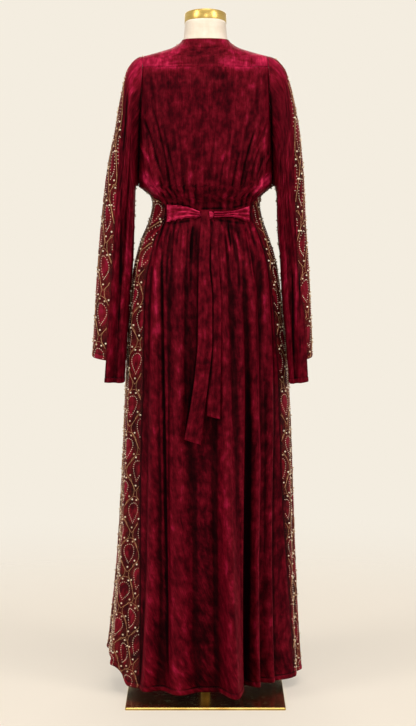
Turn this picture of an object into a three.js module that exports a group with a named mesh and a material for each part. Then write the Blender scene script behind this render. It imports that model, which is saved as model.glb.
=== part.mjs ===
// A floor-length jalabiya in crushed velvet on a limbless dress form, all in millimetres, +Z up.
// The wearer's back faces -Y, the front +Y, the left hand side is at -X. The origin is the middle of the
// base plate's underside.
import * as THREE from 'three';

// Driving sizes
const CLOTH = 2;                 // thickness of the velvet, pile included
const TIE_CLOTH = 2.4;           // the tie is the same velvet sewn double and pressed flat
const SEAM_GAP = 0.3;            // what parts two pieces at a seam
const REST_GAP = 1.0;            // what parts the cloth from the form where it rests on the shoulders
const HEM_Z = 24;                // height of the skirt's hem
const UNDERARM_Z = 1233;         // where sleeve and side seam meet
const YOKE_SEAM_Z = 1512;        // seam between the back and its yoke
const NECK_Z = 1577;             // height of the neckline at the shoulder seams and the back
const FRONT_NECK_Z = 1488;       // lowest point of the neckline, at the centre front
const ARMHOLE = { topX: 148, lowX: 160 };    // half the distance between the armhole seams
const TIE_Z = 1168;              // height of the waist tie

const PLATE_SIDE = 380;
const PLATE_THICK = 6;
const POLE_RADIUS = 11;
const NECK_TILT = THREE.MathUtils.degToRad(12);   // the neck block leans forward, so its top slopes
const CAP_RADIUS = 50;
const CAP_HEIGHT = 24;
const CAP_EDGE = 5;

// The dress form: half width and the reach of back and front at each height.
const FORM = [
  { z: 846, half: 112, back: -56, front: 56 },
  { z: 853, half: 143, back: -82, front: 78 },
  { z: 872, half: 158, back: -98, front: 90 },
  { z: 915, half: 166, back: -106, front: 95 },
  { z: 970, half: 168, back: -109, front: 98 },
  { z: 1030, half: 160, back: -104, front: 98 },
  { z: 1090, half: 140, back: -89, front: 94 },
  { z: 1140, half: 117, back: -73, front: 86 },
  { z: 1175, half: 110, back: -67, front: 81 },
  { z: 1215, half: 116, back: -70, front: 86 },
  { z: 1265, half: 130, back: -80, front: 99 },
  { z: 1315, half: 142, back: -90, front: 112 },
  { z: 1360, half: 150, back: -96, front: 117 },
  { z: 1410, half: 158, back: -98, front: 105 },
  { z: 1455, half: 163, back: -96, front: 86 },
  { z: 1490, half: 167, back: -90, front: 68 },
  { z: 1510, half: 168, back: -84, front: 57 },
  { z: 1522, half: 166, back: -79, front: 51 },
  { z: 1530, half: 161.5, back: -75, front: 49 },
  { z: 1536.5, half: 149, back: -70, front: 48 },
  { z: 1541.5, half: 130.5, back: -66, front: 48 },
  { z: 1549, half: 104.5, back: -61, front: 50 },
  { z: 1557, half: 80.5, back: -55, front: 53 },
  { z: 1567, half: 63, back: -48, front: 56 },
  { z: 1577, half: 54, back: -42, front: 59 },
  { z: 1592, half: 51, back: -37, front: 62 },
  { z: 1618, half: 49, back: -34, front: 64 },
];

// The garment's body as it hangs: reach to the left, right, back and front at each height, how far forward the
// widest points of both sides lie, and where the side seams run.
const BODY = [
  { z: 24, left: 250, right: 226, back: -112, front: 212, leftY: 150, rightY: 84, seamL: 160, seamR: 219 },
  { z: 70, left: 242, right: 223, back: -113, front: 209, leftY: 144, rightY: 80, seamL: 159, seamR: 217 },
  { z: 165, left: 230, right: 218, back: -115, front: 202, leftY: 128, rightY: 72, seamL: 158, seamR: 211 },
  { z: 310, left: 216, right: 213, back: -118, front: 190, leftY: 106, rightY: 60, seamL: 158, seamR: 200 },
  { z: 470, left: 207, right: 209, back: -120, front: 176, leftY: 82, rightY: 48, seamL: 157, seamR: 188 },
  { z: 640, left: 200, right: 205, back: -121, front: 162, leftY: 58, rightY: 36, seamL: 154, seamR: 181 },
  { z: 750, left: 195, right: 200, back: -122, front: 152, leftY: 42, rightY: 28, seamL: 150, seamR: 177 },
  { z: 862, left: 189, right: 192, back: -122, front: 140, leftY: 28, rightY: 20, seamL: 148, seamR: 170 },
  { z: 960, left: 182, right: 182, back: -121, front: 126, leftY: 16, rightY: 12, seamL: 146, seamR: 161 },
  { z: 1030, left: 174, right: 173, back: -116, front: 113, leftY: 8, rightY: 6, seamL: 139, seamR: 152 },
  { z: 1070, left: 165, right: 164, back: -108, front: 106, leftY: 5, rightY: 4, seamL: 129, seamR: 143 },
  { z: 1110, left: 151, right: 150, back: -98, front: 100, leftY: 4, rightY: 4, seamL: 120, seamR: 131 },
  { z: 1140, left: 138, right: 139, back: -88, front: 95, leftY: 4, rightY: 4, seamL: 101, seamR: 118 },
  { z: 1168, left: 130, right: 132, back: -80, front: 91, leftY: 4, rightY: 4, seamL: 94, seamR: 108 },
  { z: 1190, left: 126, right: 129, back: -83, front: 94, leftY: 4, rightY: 4, seamL: 98, seamR: 111 },
  { z: 1206, left: 129, right: 131, back: -91, front: 102, leftY: 3, rightY: 3, seamL: 122, seamR: 125 },
  { z: 1222, left: 146, right: 147, back: -98, front: 108, leftY: 2, rightY: 2, seamL: 145, seamR: 146 },
  { z: 1233, left: 160, right: 160, back: -102, front: 113, leftY: 2, rightY: 2, seamL: 160, seamR: 160 },
  { z: 1270, left: 165, right: 165, back: -109, front: 124, leftY: 2, rightY: 2, seamL: 165, seamR: 165 },
  { z: 1320, left: 168, right: 168, back: -113, front: 132, leftY: 0, rightY: 0, seamL: 168, seamR: 168 },
  { z: 1370, left: 169, right: 169, back: -113, front: 131, leftY: -2, rightY: -2, seamL: 169, seamR: 169 },
  { z: 1420, left: 170, right: 170, back: -110, front: 119, leftY: -5, rightY: -5, seamL: 170, seamR: 170 },
  { z: 1465, left: 174, right: 174, back: -104, front: 99, leftY: -8, rightY: -8, seamL: 174, seamR: 174 },
  { z: 1500, left: 178, right: 178, back: -93, front: 74, leftY: -12, rightY: -12, seamL: 178, seamR: 178 },
  { z: 1580, left: 178, right: 178, back: -93, front: 74, leftY: -12, rightY: -12, seamL: 178, seamR: 178 },
];
const FULLNESS = 0.16;           // how much fuller than an ellipse a section is at its corners
const SHOULDER_STEPS = [6.5, 2.7, 0.8, 0];     // rows just under the top of the armhole, where it curves
const FORM_MEETS = { from: 1478, to: 1516 };   // heights over which the hanging cloth comes to rest on the form

// Folds of the skirt: angle round the body at the tie and at the hem, half width there, and height. Angles are in
// degrees from the centre back, negative to the left. Each grows from the tie to the middle height and the hem.
const SKIRT_FOLDS = [
  { tie: -37, hem: -29, tieWide: 6, hemWide: 7, tieHigh: 6, midHigh: 12, hemHigh: 24 },
  { tie: -19, hem: -12, tieWide: 7, hemWide: 10, tieHigh: 6, midHigh: 15, hemHigh: 36 },
  { tie: 10, hem: 14, tieWide: 7, hemWide: 8, tieHigh: 6, midHigh: 22, hemHigh: 76 },
  { tie: 33, hem: 34, tieWide: 7, hemWide: 9, tieHigh: 6, midHigh: 20, hemHigh: 42 },
  { tie: 48, hem: 56, tieWide: 6, hemWide: 10, tieHigh: 5, midHigh: 12, hemHigh: 26 },
  { tie: -62, hem: -58, tieWide: 7, hemWide: 8, tieHigh: 4, midHigh: 9, hemHigh: 20 },
  { tie: -112, hem: -112, tieWide: 14, hemWide: 15, tieHigh: 4, midHigh: 12, hemHigh: 26 },
  { tie: -146, hem: -143, tieWide: 14, hemWide: 16, tieHigh: 4, midHigh: 14, hemHigh: 30 },
  { tie: 178, hem: 178, tieWide: 14, hemWide: 16, tieHigh: 4, midHigh: 15, hemHigh: 32 },
  { tie: 142, hem: 141, tieWide: 14, hemWide: 16, tieHigh: 4, midHigh: 13, hemHigh: 28 },
  { tie: 106, hem: 108, tieWide: 14, hemWide: 15, tieHigh: 4, midHigh: 11, hemHigh: 24 },
];
const SKIRT_FOLD_MID_Z = 640;

// The deep pleat right of the tails: beyond it the back falls behind its neighbour.
const PLEAT = { tie: 24, hem: 20.5, tieWide: 5, hemWide: 2.6, startsZ: 1040, hemDeep: 66 };

// Gathers that the tie presses in: small ridges over and under it, fading out at the given distance.
const GATHERS = [
  { at: -44, wide: 3.6, high: 5, below: 120, above: 130 },
  { at: -31, wide: 3.4, high: 6, below: 150, above: 190 },
  { at: -25, wide: 3.0, high: 5, below: 110, above: 120 },
  { at: -12, wide: 3.6, high: 6, below: 150, above: 150 },
  { at: -4, wide: 3.4, high: 5, below: 120, above: 100 },
  { at: 4, wide: 3.2, high: 5, below: 110, above: 130 },
  { at: 17, wide: 3.6, high: 6, below: 170, above: 160 },
  { at: 25, wide: 3.2, high: 6, below: 170, above: 120 },
  { at: 40, wide: 3.6, high: 6, below: 150, above: 180 },
  { at: 66, wide: 5, high: 4, below: 110, above: 90 },
  { at: -66, wide: 5, high: 4, below: 110, above: 90 },
  { at: -95, wide: 10, high: 4, below: 130, above: 110 },
  { at: 92, wide: 10, high: 4, below: 130, above: 110 },
  { at: -128, wide: 10, high: 4, below: 130, above: 120 },
  { at: 124, wide: 10, high: 4, below: 130, above: 120 },
  { at: -162, wide: 10, high: 4, below: 130, above: 120 },
  { at: 160, wide: 10, high: 4, below: 130, above: 120 },
];
const TIE_PRESS = 30;            // height over which the tie presses the gathers flat

// Folds of the bodice, fanning from the tie towards the armholes: angle at the tie and at the top, and height.
const BODICE_FOLDS = [
  { tie: -47, top: -58, wide: 5, high: 11, topZ: 1470 },
  { tie: -36, top: -49, wide: 5, high: 9, topZ: 1440 },
  { tie: -18, top: -27, wide: 6, high: 6, topZ: 1380 },
  { tie: 10, top: 13, wide: 7, high: 6, topZ: 1370 },
  { tie: 31, top: 42, wide: 5, high: 8, topZ: 1420 },
  { tie: 46, top: 57, wide: 5, high: 12, topZ: 1470 },
  { tie: -142, top: -134, wide: 8, high: 7, topZ: 1420 },
  { tie: 142, top: 134, wide: 8, high: 7, topZ: 1420 },
];

// Sleeves as they hang: the outer and the inner edge of each section, its reach to back and front. The back panel
// ends at the last row, the shorter front panel some way above it.
const SLEEVE_LEFT = [
  { t: 0.00, outX: 149, outZ: 1538, inX: 160, inZ: 1233, back: 66, front: 58, midY: -13 },
  { t: 0.04, outX: 174, outZ: 1529, inX: 163, inZ: 1232, back: 70, front: 62, midY: -13 },
  { t: 0.08, outX: 186, outZ: 1510, inX: 166, inZ: 1230, back: 73, front: 65, midY: -12 },
  { t: 0.14, outX: 194, outZ: 1480, inX: 168, inZ: 1222, back: 74, front: 68, midY: -11 },
  { t: 0.22, outX: 205, outZ: 1428, inX: 169, inZ: 1200, back: 76, front: 70, midY: -9 },
  { t: 0.32, outX: 219, outZ: 1350, inX: 170, inZ: 1163, back: 77, front: 71, midY: -7 },
  { t: 0.44, outX: 236, outZ: 1255, inX: 173, inZ: 1113, back: 77, front: 72, midY: -5 },
  { t: 0.57, outX: 249, outZ: 1140, inX: 180, inZ: 1048, back: 77, front: 73, midY: -4 },
  { t: 0.70, outX: 259, outZ: 1025, inX: 189, inZ: 973, back: 77, front: 74, midY: -4 },
  { t: 0.84, outX: 268, outZ: 898, inX: 197, inZ: 876, back: 77, front: 76, midY: -4 },
  { t: 1.00, outX: 276, outZ: 770, inX: 203, inZ: 763, back: 78, front: 78, midY: -4 },
];
const SLEEVE_RIGHT = [
  { t: 0.00, outX: 149, outZ: 1538, inX: 160, inZ: 1233, back: 66, front: 58, midY: -13 },
  { t: 0.04, outX: 175, outZ: 1529, inX: 163, inZ: 1232, back: 70, front: 62, midY: -13 },
  { t: 0.08, outX: 189, outZ: 1511, inX: 166, inZ: 1230, back: 73, front: 65, midY: -12 },
  { t: 0.14, outX: 199, outZ: 1482, inX: 169, inZ: 1222, back: 74, front: 68, midY: -11 },
  { t: 0.22, outX: 213, outZ: 1428, inX: 171, inZ: 1200, back: 76, front: 70, midY: -9 },
  { t: 0.32, outX: 226, outZ: 1350, inX: 172, inZ: 1163, back: 77, front: 71, midY: -7 },
  { t: 0.44, outX: 235, outZ: 1255, inX: 174, inZ: 1113, back: 77, front: 72, midY: -5 },
  { t: 0.57, outX: 241, outZ: 1140, inX: 180, inZ: 1048, back: 77, front: 73, midY: -4 },
  { t: 0.70, outX: 249, outZ: 1025, inX: 189, inZ: 973, back: 77, front: 74, midY: -4 },
  { t: 0.84, outX: 255, outZ: 898, inX: 199, inZ: 876, back: 77, front: 76, midY: -4 },
  { t: 1.00, outX: 259, outZ: 771, inX: 205, inZ: 761, back: 78, front: 78, midY: -4 },
];
// Where the seam between the sleeve's panels runs over its back, in degrees from the outer edge.
const SLEEVE_SEAM_LEFT = [{ t: 0, at: 0 }, { t: 0.08, at: 14 }, { t: 0.22, at: 48 }, { t: 0.44, at: 76 }, { t: 1, at: 80 }];
const SLEEVE_SEAM_RIGHT = [{ t: 0, at: 0 }, { t: 0.08, at: 14 }, { t: 0.22, at: 46 }, { t: 0.44, at: 74 },
  { t: 0.7, at: 68 }, { t: 1, at: 57 }];
const UNDERARM_SEAM = 180;       // the lower sleeve seam, in the same degrees
const SLEEVE_FRONT_END = 0.93;   // share of the sleeve's length that the front panel has
const SLEEVE_BLEND = 0.1;        // share of the sleeve over which the armhole's shape turns into the sleeve's own
const SLEEVE_FOLDS = [
  { at: 112, wide: 20, high: -13, from: 0.12 },
  { at: 150, wide: 18, high: 5, from: 0.2 },
  { at: 250, wide: 24, high: -9, from: 0.2 },
  { at: 310, wide: 24, high: 5, from: 0.2 },
];

// The waist tie's two bands from the side seams to the knot: reach along X, upper and lower edge.
const TIE_LEFT = [
  { x: -92, low: 1148, high: 1189 },
  { x: -51, low: 1157, high: 1186 },
  { x: -12, low: 1160, high: 1174 },
];
const TIE_RIGHT = [
  { x: 20, low: 1159, high: 1173 },
  { x: 60, low: 1160, high: 1175 },
  { x: 105, low: 1148, high: 1186 },
];
const KNOT = { x: 4, z: 1165, wide: 31, high: 19, deep: 12 };
const TAIL_LONG = [
  { z: 1172, left: -10, right: 9 },
  { z: 1150, left: -12, right: 11 },
  { z: 1122, left: -13, right: 12 },
  { z: 1056, left: -16, right: 9 },
  { z: 967, left: -17, right: 16 },
  { z: 873, left: -18, right: 16 },
  { z: 800, left: -24, right: 10 },
  { z: 731, left: -33, right: 1 },
  { z: 683, left: -41, right: -5 },
  { z: 632, left: -50, right: -11 },
];
const TAIL_SHORT = [
  { z: 1154.8, left: 2, right: 18 },
  { z: 1146, left: 0, right: 24 },
  { z: 1122, left: -2, right: 30 },
  { z: 1024, left: 1, right: 33 },
  { z: 967, left: 4, right: 37 },
  { z: 849, left: 4, right: 37 },
  { z: 778, left: 5, right: 36 },
  { z: 690, left: 3, right: 35 },
];
const TIE_CLEAR = 1.6;           // what parts the bands from the ridges of the cloth they lie on
const KNOT_CLEAR = 1.2;
const TAIL_CLEAR = 1.0;
const TAIL_LAYER = 4.8;          // how far the long tail lies outside the short one

const rad = THREE.MathUtils.degToRad;
const mix = THREE.MathUtils.lerp;
const clamp01 = (v) => Math.min(1, Math.max(0, v));
const ease = (v) => clamp01(v) ** 2 * (3 - 2 * clamp01(v));
const easeBetween = (v, from, to) => ease((v - from) / (to - from));

// Prepares a column of a table as a smooth curve that never overshoots a row.
const curves = new Map();
function curveOf(table, key, column) {
  const byTable = curves.get(table) ?? new Map();
  curves.set(table, byTable);
  if (!byTable.has(column)) {
    const rows = [...table].sort((a, b) => a[key] - b[key]);
    const at = rows.map((row) => row[key]);
    const value = rows.map((row) => row[column]);
    const slopes = at.slice(1).map((x, i) => (value[i + 1] - value[i]) / (x - at[i]));
    const tangents = at.map((_, i) => {
      if (i === 0) return slopes[0];
      if (i === slopes.length) return slopes[i - 1];
      const [before, after] = [slopes[i - 1], slopes[i]];
      return before * after <= 0 ? 0 : (2 * before * after) / (before + after);
    });
    byTable.set(column, { at, value, tangents });
  }
  return byTable.get(column);
}

// Reads one column of a table at a place between its rows.
function read(table, key, column, place) {
  const { at, value, tangents } = curveOf(table, key, column);
  const last = at.length - 1;
  if (place <= at[0]) return value[0];
  if (place >= at[last]) return value[last];
  let i = 0;
  while (at[i + 1] < place) i += 1;
  const span = at[i + 1] - at[i];
  const s = (place - at[i]) / span;
  const s2 = s * s;
  const s3 = s2 * s;
  return value[i] * (2 * s3 - 3 * s2 + 1) + tangents[i] * span * (s3 - 2 * s2 + s)
    + value[i + 1] * (3 * s2 - 2 * s3) + tangents[i + 1] * span * (s3 - s2);
}

// A rounded section: the point at an angle from the centre back, for given reaches.
function sectionPoint(angle, z, reach) {
  const sin = Math.sin(angle);
  const cos = Math.cos(angle);
  const half = sin < 0 ? reach.left : reach.right;
  const sideY = sin < 0 ? reach.leftY : reach.rightY;
  const depth = Math.abs(cos) * (1 + FULLNESS * sin * sin);
  const end = cos > 0 ? reach.back : reach.front;
  return new THREE.Vector3(half * sin * (1 + FULLNESS * cos * cos), mix(sideY, end, depth), z);
}

function formPoint(angle, z) {
  const half = read(FORM, 'z', 'half', z);
  const back = read(FORM, 'z', 'back', z);
  const front = read(FORM, 'z', 'front', z);
  const sideY = (back + front) / 2;
  return sectionPoint(angle, z, { left: half, right: half, back, front, leftY: sideY, rightY: sideY });
}

// The direction that points out of a surface, from small steps along both of its directions.
function normalAt(surface, u, v, du, dv) {
  const along = surface(u + du, v).sub(surface(u - du, v));
  const up = surface(u, v + dv).sub(surface(u, v - dv));
  return along.cross(up).normalize();
}

// The share of a fold's height that a point has, from 1 on the ridge to 0 at its half width.
function ridge(angleDeg, centre, wide) {
  const away = Math.abs(THREE.MathUtils.euclideanModulo(angleDeg - centre + 180, 360) - 180) / wide;
  return away < 1 ? 0.5 + 0.5 * Math.cos(Math.PI * away) : 0;
}

// How far the folds push the cloth out of its plain section.
function foldHeight(angle, z) {
  const deg = THREE.MathUtils.radToDeg(angle);
  const down = clamp01((TIE_Z - z) / (TIE_Z - HEM_Z));
  const pressed = easeBetween(Math.abs(z - TIE_Z), TIE_PRESS * 0.4, TIE_PRESS * 1.6);
  let height = 0;
  if (z < TIE_Z) {
    for (const f of SKIRT_FOLDS) {
      const grown = z > SKIRT_FOLD_MID_Z
        ? mix(f.midHigh, f.tieHigh, (z - SKIRT_FOLD_MID_Z) / (TIE_Z - SKIRT_FOLD_MID_Z))
        : mix(f.hemHigh, f.midHigh, (z - HEM_Z) / (SKIRT_FOLD_MID_Z - HEM_Z));
      height += grown * pressed * ridge(deg, mix(f.tie, f.hem, down), mix(f.tieWide, f.hemWide, down));
    }
    const started = clamp01((PLEAT.startsZ - z) / (PLEAT.startsZ - HEM_Z));
    const edge = mix(PLEAT.tie, PLEAT.hem, down);
    const beyond = easeBetween(deg, edge, edge + mix(PLEAT.tieWide, PLEAT.hemWide, started));
    height -= PLEAT.hemDeep * started * beyond * (1 - easeBetween(deg, 52, 84));
  } else {
    for (const f of BODICE_FOLDS) {
      const up = clamp01((z - TIE_Z) / (f.topZ - TIE_Z));
      height += f.high * pressed * (1 - ease(up)) * ridge(deg, mix(f.tie, f.top, up), f.wide);
    }
  }
  for (const g of GATHERS) {
    const reach = z < TIE_Z ? g.below : g.above;
    const left = 1 - ease(Math.abs(z - TIE_Z) / reach);
    height += g.high * mix(0.35, 1, pressed) * left * ridge(deg, g.at, g.wide);
  }
  return height;
}

function hangingPoint(angle, z) {
  const reach = {};
  for (const side of ['left', 'right', 'back', 'front', 'leftY', 'rightY']) reach[side] = read(BODY, 'z', side, z);
  return sectionPoint(angle, z, reach);
}

// The outer face of the garment's body at an angle and height.
function bodyPoint(angle, z) {
  const rests = easeBetween(z, FORM_MEETS.from, FORM_MEETS.to);
  const point = hangingPoint(angle, z);
  if (rests < 1) {
    const along = hangingPoint(angle + 1e-3, z).sub(hangingPoint(angle - 1e-3, z));
    point.addScaledVector(new THREE.Vector3(along.y, -along.x, 0).normalize(), foldHeight(angle, z));
  }
  if (rests === 0) return point;
  const away = normalAt(formPoint, angle, z, 1e-3, 0.5);
  return point.lerp(formPoint(angle, z).addScaledVector(away, CLOTH + REST_GAP), rests);
}

// The angle at which a section of the body has the given distance from the middle plane.
function angleAtX(x, half) {
  if (x >= half) return Math.PI / 2;
  let low = 0;
  let high = Math.PI / 2;
  for (let i = 0; i < 30; i += 1) {
    const middle = (low + high) / 2;
    if (half * Math.sin(middle) * (1 + FULLNESS * Math.cos(middle) ** 2) < x) low = middle;
    else high = middle;
  }
  return low;
}

// The same on the right hand side, where the deep pleat draws the cloth in: with the folds counted.
function foldedAngleAtX(x, z) {
  let low = rad(48);
  let high = Math.PI / 2;
  if (x >= bodyPoint(high, z).x) return high;
  for (let i = 0; i < 30; i += 1) {
    const middle = (low + high) / 2;
    if (bodyPoint(middle, z).x < x) low = middle;
    else high = middle;
  }
  return low;
}

// A thin closed wall. The outer face is a grid of points, and the inner one lies a thickness behind it.
function wall(columns, rows, pointAt, normalOf, thickness) {
  const positions = [];
  for (const depth of [0, thickness]) {
    for (let j = 0; j <= rows; j += 1) {
      for (let i = 0; i <= columns; i += 1) {
        const point = pointAt(i, j).clone();
        point.addScaledVector(normalOf(i, j), -depth);
        positions.push(point.x, point.y, point.z);
      }
    }
  }
  const inner = (columns + 1) * (rows + 1);
  const at = (i, j) => j * (columns + 1) + i;
  const faces = [];
  const quad = (a, b, c, d) => faces.push(a, b, c, a, c, d);
  for (let j = 0; j < rows; j += 1) {
    for (let i = 0; i < columns; i += 1) {
      quad(at(i, j), at(i + 1, j), at(i + 1, j + 1), at(i, j + 1));
      quad(inner + at(i, j), inner + at(i, j + 1), inner + at(i + 1, j + 1), inner + at(i + 1, j));
    }
  }
  for (let i = 0; i < columns; i += 1) {
    quad(at(i, 0), inner + at(i, 0), inner + at(i + 1, 0), at(i + 1, 0));
    quad(at(i, rows), at(i + 1, rows), inner + at(i + 1, rows), inner + at(i, rows));
  }
  for (let j = 0; j < rows; j += 1) {
    quad(at(0, j), at(0, j + 1), inner + at(0, j + 1), inner + at(0, j));
    quad(at(columns, j), inner + at(columns, j), inner + at(columns, j + 1), at(columns, j + 1));
  }
  const geometry = new THREE.BufferGeometry();
  geometry.setAttribute('position', new THREE.Float32BufferAttribute(positions, 3));
  geometry.setIndex(faces);
  return geometry;
}

// A closed solid through rings of equally many points, closed by a fan at each end.
function loft(rings) {
  const count = rings[0].length;
  const positions = rings.flat().flatMap((p) => [p.x, p.y, p.z]);
  const faces = [];
  for (let j = 0; j + 1 < rings.length; j += 1) {
    for (let i = 0; i < count; i += 1) {
      const a = j * count + i;
      const b = j * count + ((i + 1) % count);
      faces.push(a, b, b + count, a, b + count, a + count);
    }
  }
  const ends = [rings[0], rings[rings.length - 1]];
  ends.forEach((ring, end) => {
    const middle = ring.reduce((sum, p) => sum.add(p), new THREE.Vector3()).divideScalar(count);
    const centre = positions.length / 3;
    positions.push(middle.x, middle.y, middle.z);
    const first = end === 0 ? 0 : (rings.length - 1) * count;
    for (let i = 0; i < count; i += 1) {
      const a = first + i;
      const b = first + ((i + 1) % count);
      if (end === 0) faces.push(centre, b, a);
      else faces.push(centre, a, b);
    }
  });
  const geometry = new THREE.BufferGeometry();
  geometry.setAttribute('position', new THREE.Float32BufferAttribute(positions, 3));
  geometry.setIndex(faces);
  return geometry;
}

const materials = {
  velvet: new THREE.MeshStandardMaterial({ color: 0x6e0a1e, roughness: 0.75, metalness: 0 }),
  embroidered: new THREE.MeshStandardMaterial({ color: 0x5a1418, roughness: 0.8, metalness: 0 }),
  linen: new THREE.MeshStandardMaterial({ color: 0xf3e6cc, roughness: 0.9, metalness: 0 }),
  brass: new THREE.MeshStandardMaterial({ color: 0xc9a13b, roughness: 0.25, metalness: 1 }),
};

const group = new THREE.Group();

function add(name, geometry, material) {
  geometry.computeVertexNormals();
  const mesh = new THREE.Mesh(geometry, material);
  mesh.name = name;
  group.add(mesh);
  return mesh;
}

// The stand
function buildStand() {
  const plate = new THREE.BoxGeometry(PLATE_SIDE, PLATE_SIDE, PLATE_THICK);
  plate.translate(0, 0, PLATE_THICK / 2);
  add('base_plate', plate, materials.brass);

  const formLow = FORM[0].z;
  const poleLow = PLATE_THICK + SEAM_GAP;
  const poleLength = formLow - SEAM_GAP - poleLow;
  const pole = new THREE.CylinderGeometry(POLE_RADIUS, POLE_RADIUS, poleLength, 20);
  pole.rotateX(Math.PI / 2);
  pole.translate(0, 0, poleLow + poleLength / 2);
  add('pole', pole, materials.brass);
}

// The dress form's padded body and neck in one piece, with a flat sloping top
function buildForm() {
  const sides = 32;
  const tiltFrom = 1586;
  const top = FORM[FORM.length - 1];
  const middleY = (top.back + top.front) / 2;
  const levels = [...FORM.map(({ z }) => z), ...SHOULDER_STEPS.slice(1, 3).map((drop) => shoulderZ - drop)];
  const rings = levels.sort((a, b) => a - b).map((z) => Array.from({ length: sides }, (_, i) => {
    const point = formPoint((i / sides) * 2 * Math.PI, z);
    const tilted = clamp01((z - tiltFrom) / (top.z - tiltFrom));
    point.z -= tilted * (point.y - middleY) * Math.tan(NECK_TILT);
    return point;
  }));
  add('dress_form', loft(rings), materials.linen);

  const profile = [
    [0, 0], [CAP_RADIUS, 0], [CAP_RADIUS, CAP_HEIGHT - CAP_EDGE],
    [CAP_RADIUS - CAP_EDGE * 0.3, CAP_HEIGHT - CAP_EDGE * 0.3], [CAP_RADIUS - CAP_EDGE, CAP_HEIGHT], [0, CAP_HEIGHT],
  ].map(([r, h]) => new THREE.Vector2(r, h));
  const cap = new THREE.LatheGeometry(profile, 32);
  cap.rotateX(Math.PI / 2);
  const mesh = add('neck_cap', cap, materials.brass);
  mesh.rotation.x = -NECK_TILT;
  mesh.position.set(0, middleY + SEAM_GAP * Math.sin(NECK_TILT), top.z + SEAM_GAP * 1.2);
}

// One panel of the body between two edges, given as angles at each height. Above fixedZ its rows close up to topAt.
function bodyPanel(name, material, heights, columns, edges, fixedZ, topAt) {
  const topZ = heights[heights.length - 1];
  const inset = (angle, z) => {
    const step = bodyPoint(angle + 1e-3, z).distanceTo(bodyPoint(angle - 1e-3, z)) / 2e-3;
    return SEAM_GAP / 2 / step;
  };
  const spans = heights.map((z) => {
    const [start, end] = edges(z);
    return [start + inset(start, z), end - inset(end, z)];
  });
  const place = (i, j) => {
    const u = i / columns;
    const row = heights[j];
    const z = row > fixedZ ? mix(fixedZ, topAt(u), (row - fixedZ) / (topZ - fixedZ)) : row;
    return [mix(...spans[j], u), z];
  };
  const pointAt = (i, j) => bodyPoint(...place(i, j));
  const normalOf = (i, j) => normalAt(bodyPoint, ...place(i, j), 2e-3, 0.5);
  add(name, wall(columns, heights.length - 1, pointAt, normalOf, CLOTH), material);
}

// Halves the span between two values until a test that holds at the lower one stops holding
function bisect(from, to, holds) {
  let low = from;
  let high = to;
  for (let i = 0; i < 24; i += 1) {
    const middle = (low + high) / 2;
    if (holds(middle)) low = middle;
    else high = middle;
  }
  return low;
}

const shoulderZ = bisect(1520, 1560, (z) => bodyPoint(Math.PI / 2, z).x > ARMHOLE.topX);

// Half the angle that the back or the front spans above the underarm, where the armhole bounds it
function armholeAngle(z) {
  if (z >= shoulderZ) return Math.PI / 2;
  const seamX = mix(ARMHOLE.lowX, ARMHOLE.topX, (z - UNDERARM_Z) / (shoulderZ - UNDERARM_Z));
  return bisect(0, Math.PI / 2, (angle) => bodyPoint(angle, z).x < seamX);
}

function backEdges(z) {
  if (z >= UNDERARM_Z) return [-armholeAngle(z), armholeAngle(z)];
  return [
    -angleAtX(read(BODY, 'z', 'seamL', z), read(BODY, 'z', 'left', z)),
    foldedAngleAtX(read(BODY, 'z', 'seamR', z), z),
  ];
}

function frontEdges(z) {
  if (z >= UNDERARM_Z) return [Math.PI - armholeAngle(z), Math.PI + armholeAngle(z)];
  const [left, right] = backEdges(z);
  return [right, 2 * Math.PI + left];
}

function buildBody() {
  const skirtRows = [HEM_Z, 150, 290, 440, 590, 730, 840, 930, 1005, 1065, 1110, 1145];
  const bodiceRows = [TIE_Z, 1188, 1206, UNDERARM_Z, 1243, 1275, 1330, 1385, 1440, 1485];
  const shoulderRows = [1522, ...SHOULDER_STEPS.map((drop) => shoulderZ - drop), 1541.5, 1549, 1557, 1567, NECK_Z];
  const gap = SEAM_GAP / 2;

  const backRows = [...skirtRows, ...bodiceRows, YOKE_SEAM_Z - gap];
  bodyPanel('back', materials.velvet, backRows, 42, backEdges, YOKE_SEAM_Z, () => YOKE_SEAM_Z);
  bodyPanel('back_yoke', materials.velvet, [YOKE_SEAM_Z + gap, ...shoulderRows], 22, backEdges, 1567,
    (u) => NECK_Z + 3 * Math.sin(Math.PI * u));
  const neckline = (u) => mix(FRONT_NECK_Z, NECK_Z, easeBetween(Math.abs(2 * u - 1), 0, 0.62));
  bodyPanel('front', materials.embroidered, [...skirtRows, ...bodiceRows, 1508, ...shoulderRows], 28,
    frontEdges, 1385, neckline);
}

// The armhole's edge on the body at the sleeve's angle: 0 at the shoulder, half a turn at the underarm
function armholePoint(side, turn) {
  const z = mix(UNDERARM_Z, shoulderZ, 0.5 + 0.5 * Math.cos(turn));
  const angle = armholeAngle(z);
  return bodyPoint(side * (Math.sin(turn) >= 0 ? angle : Math.PI - angle), z);
}

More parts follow.
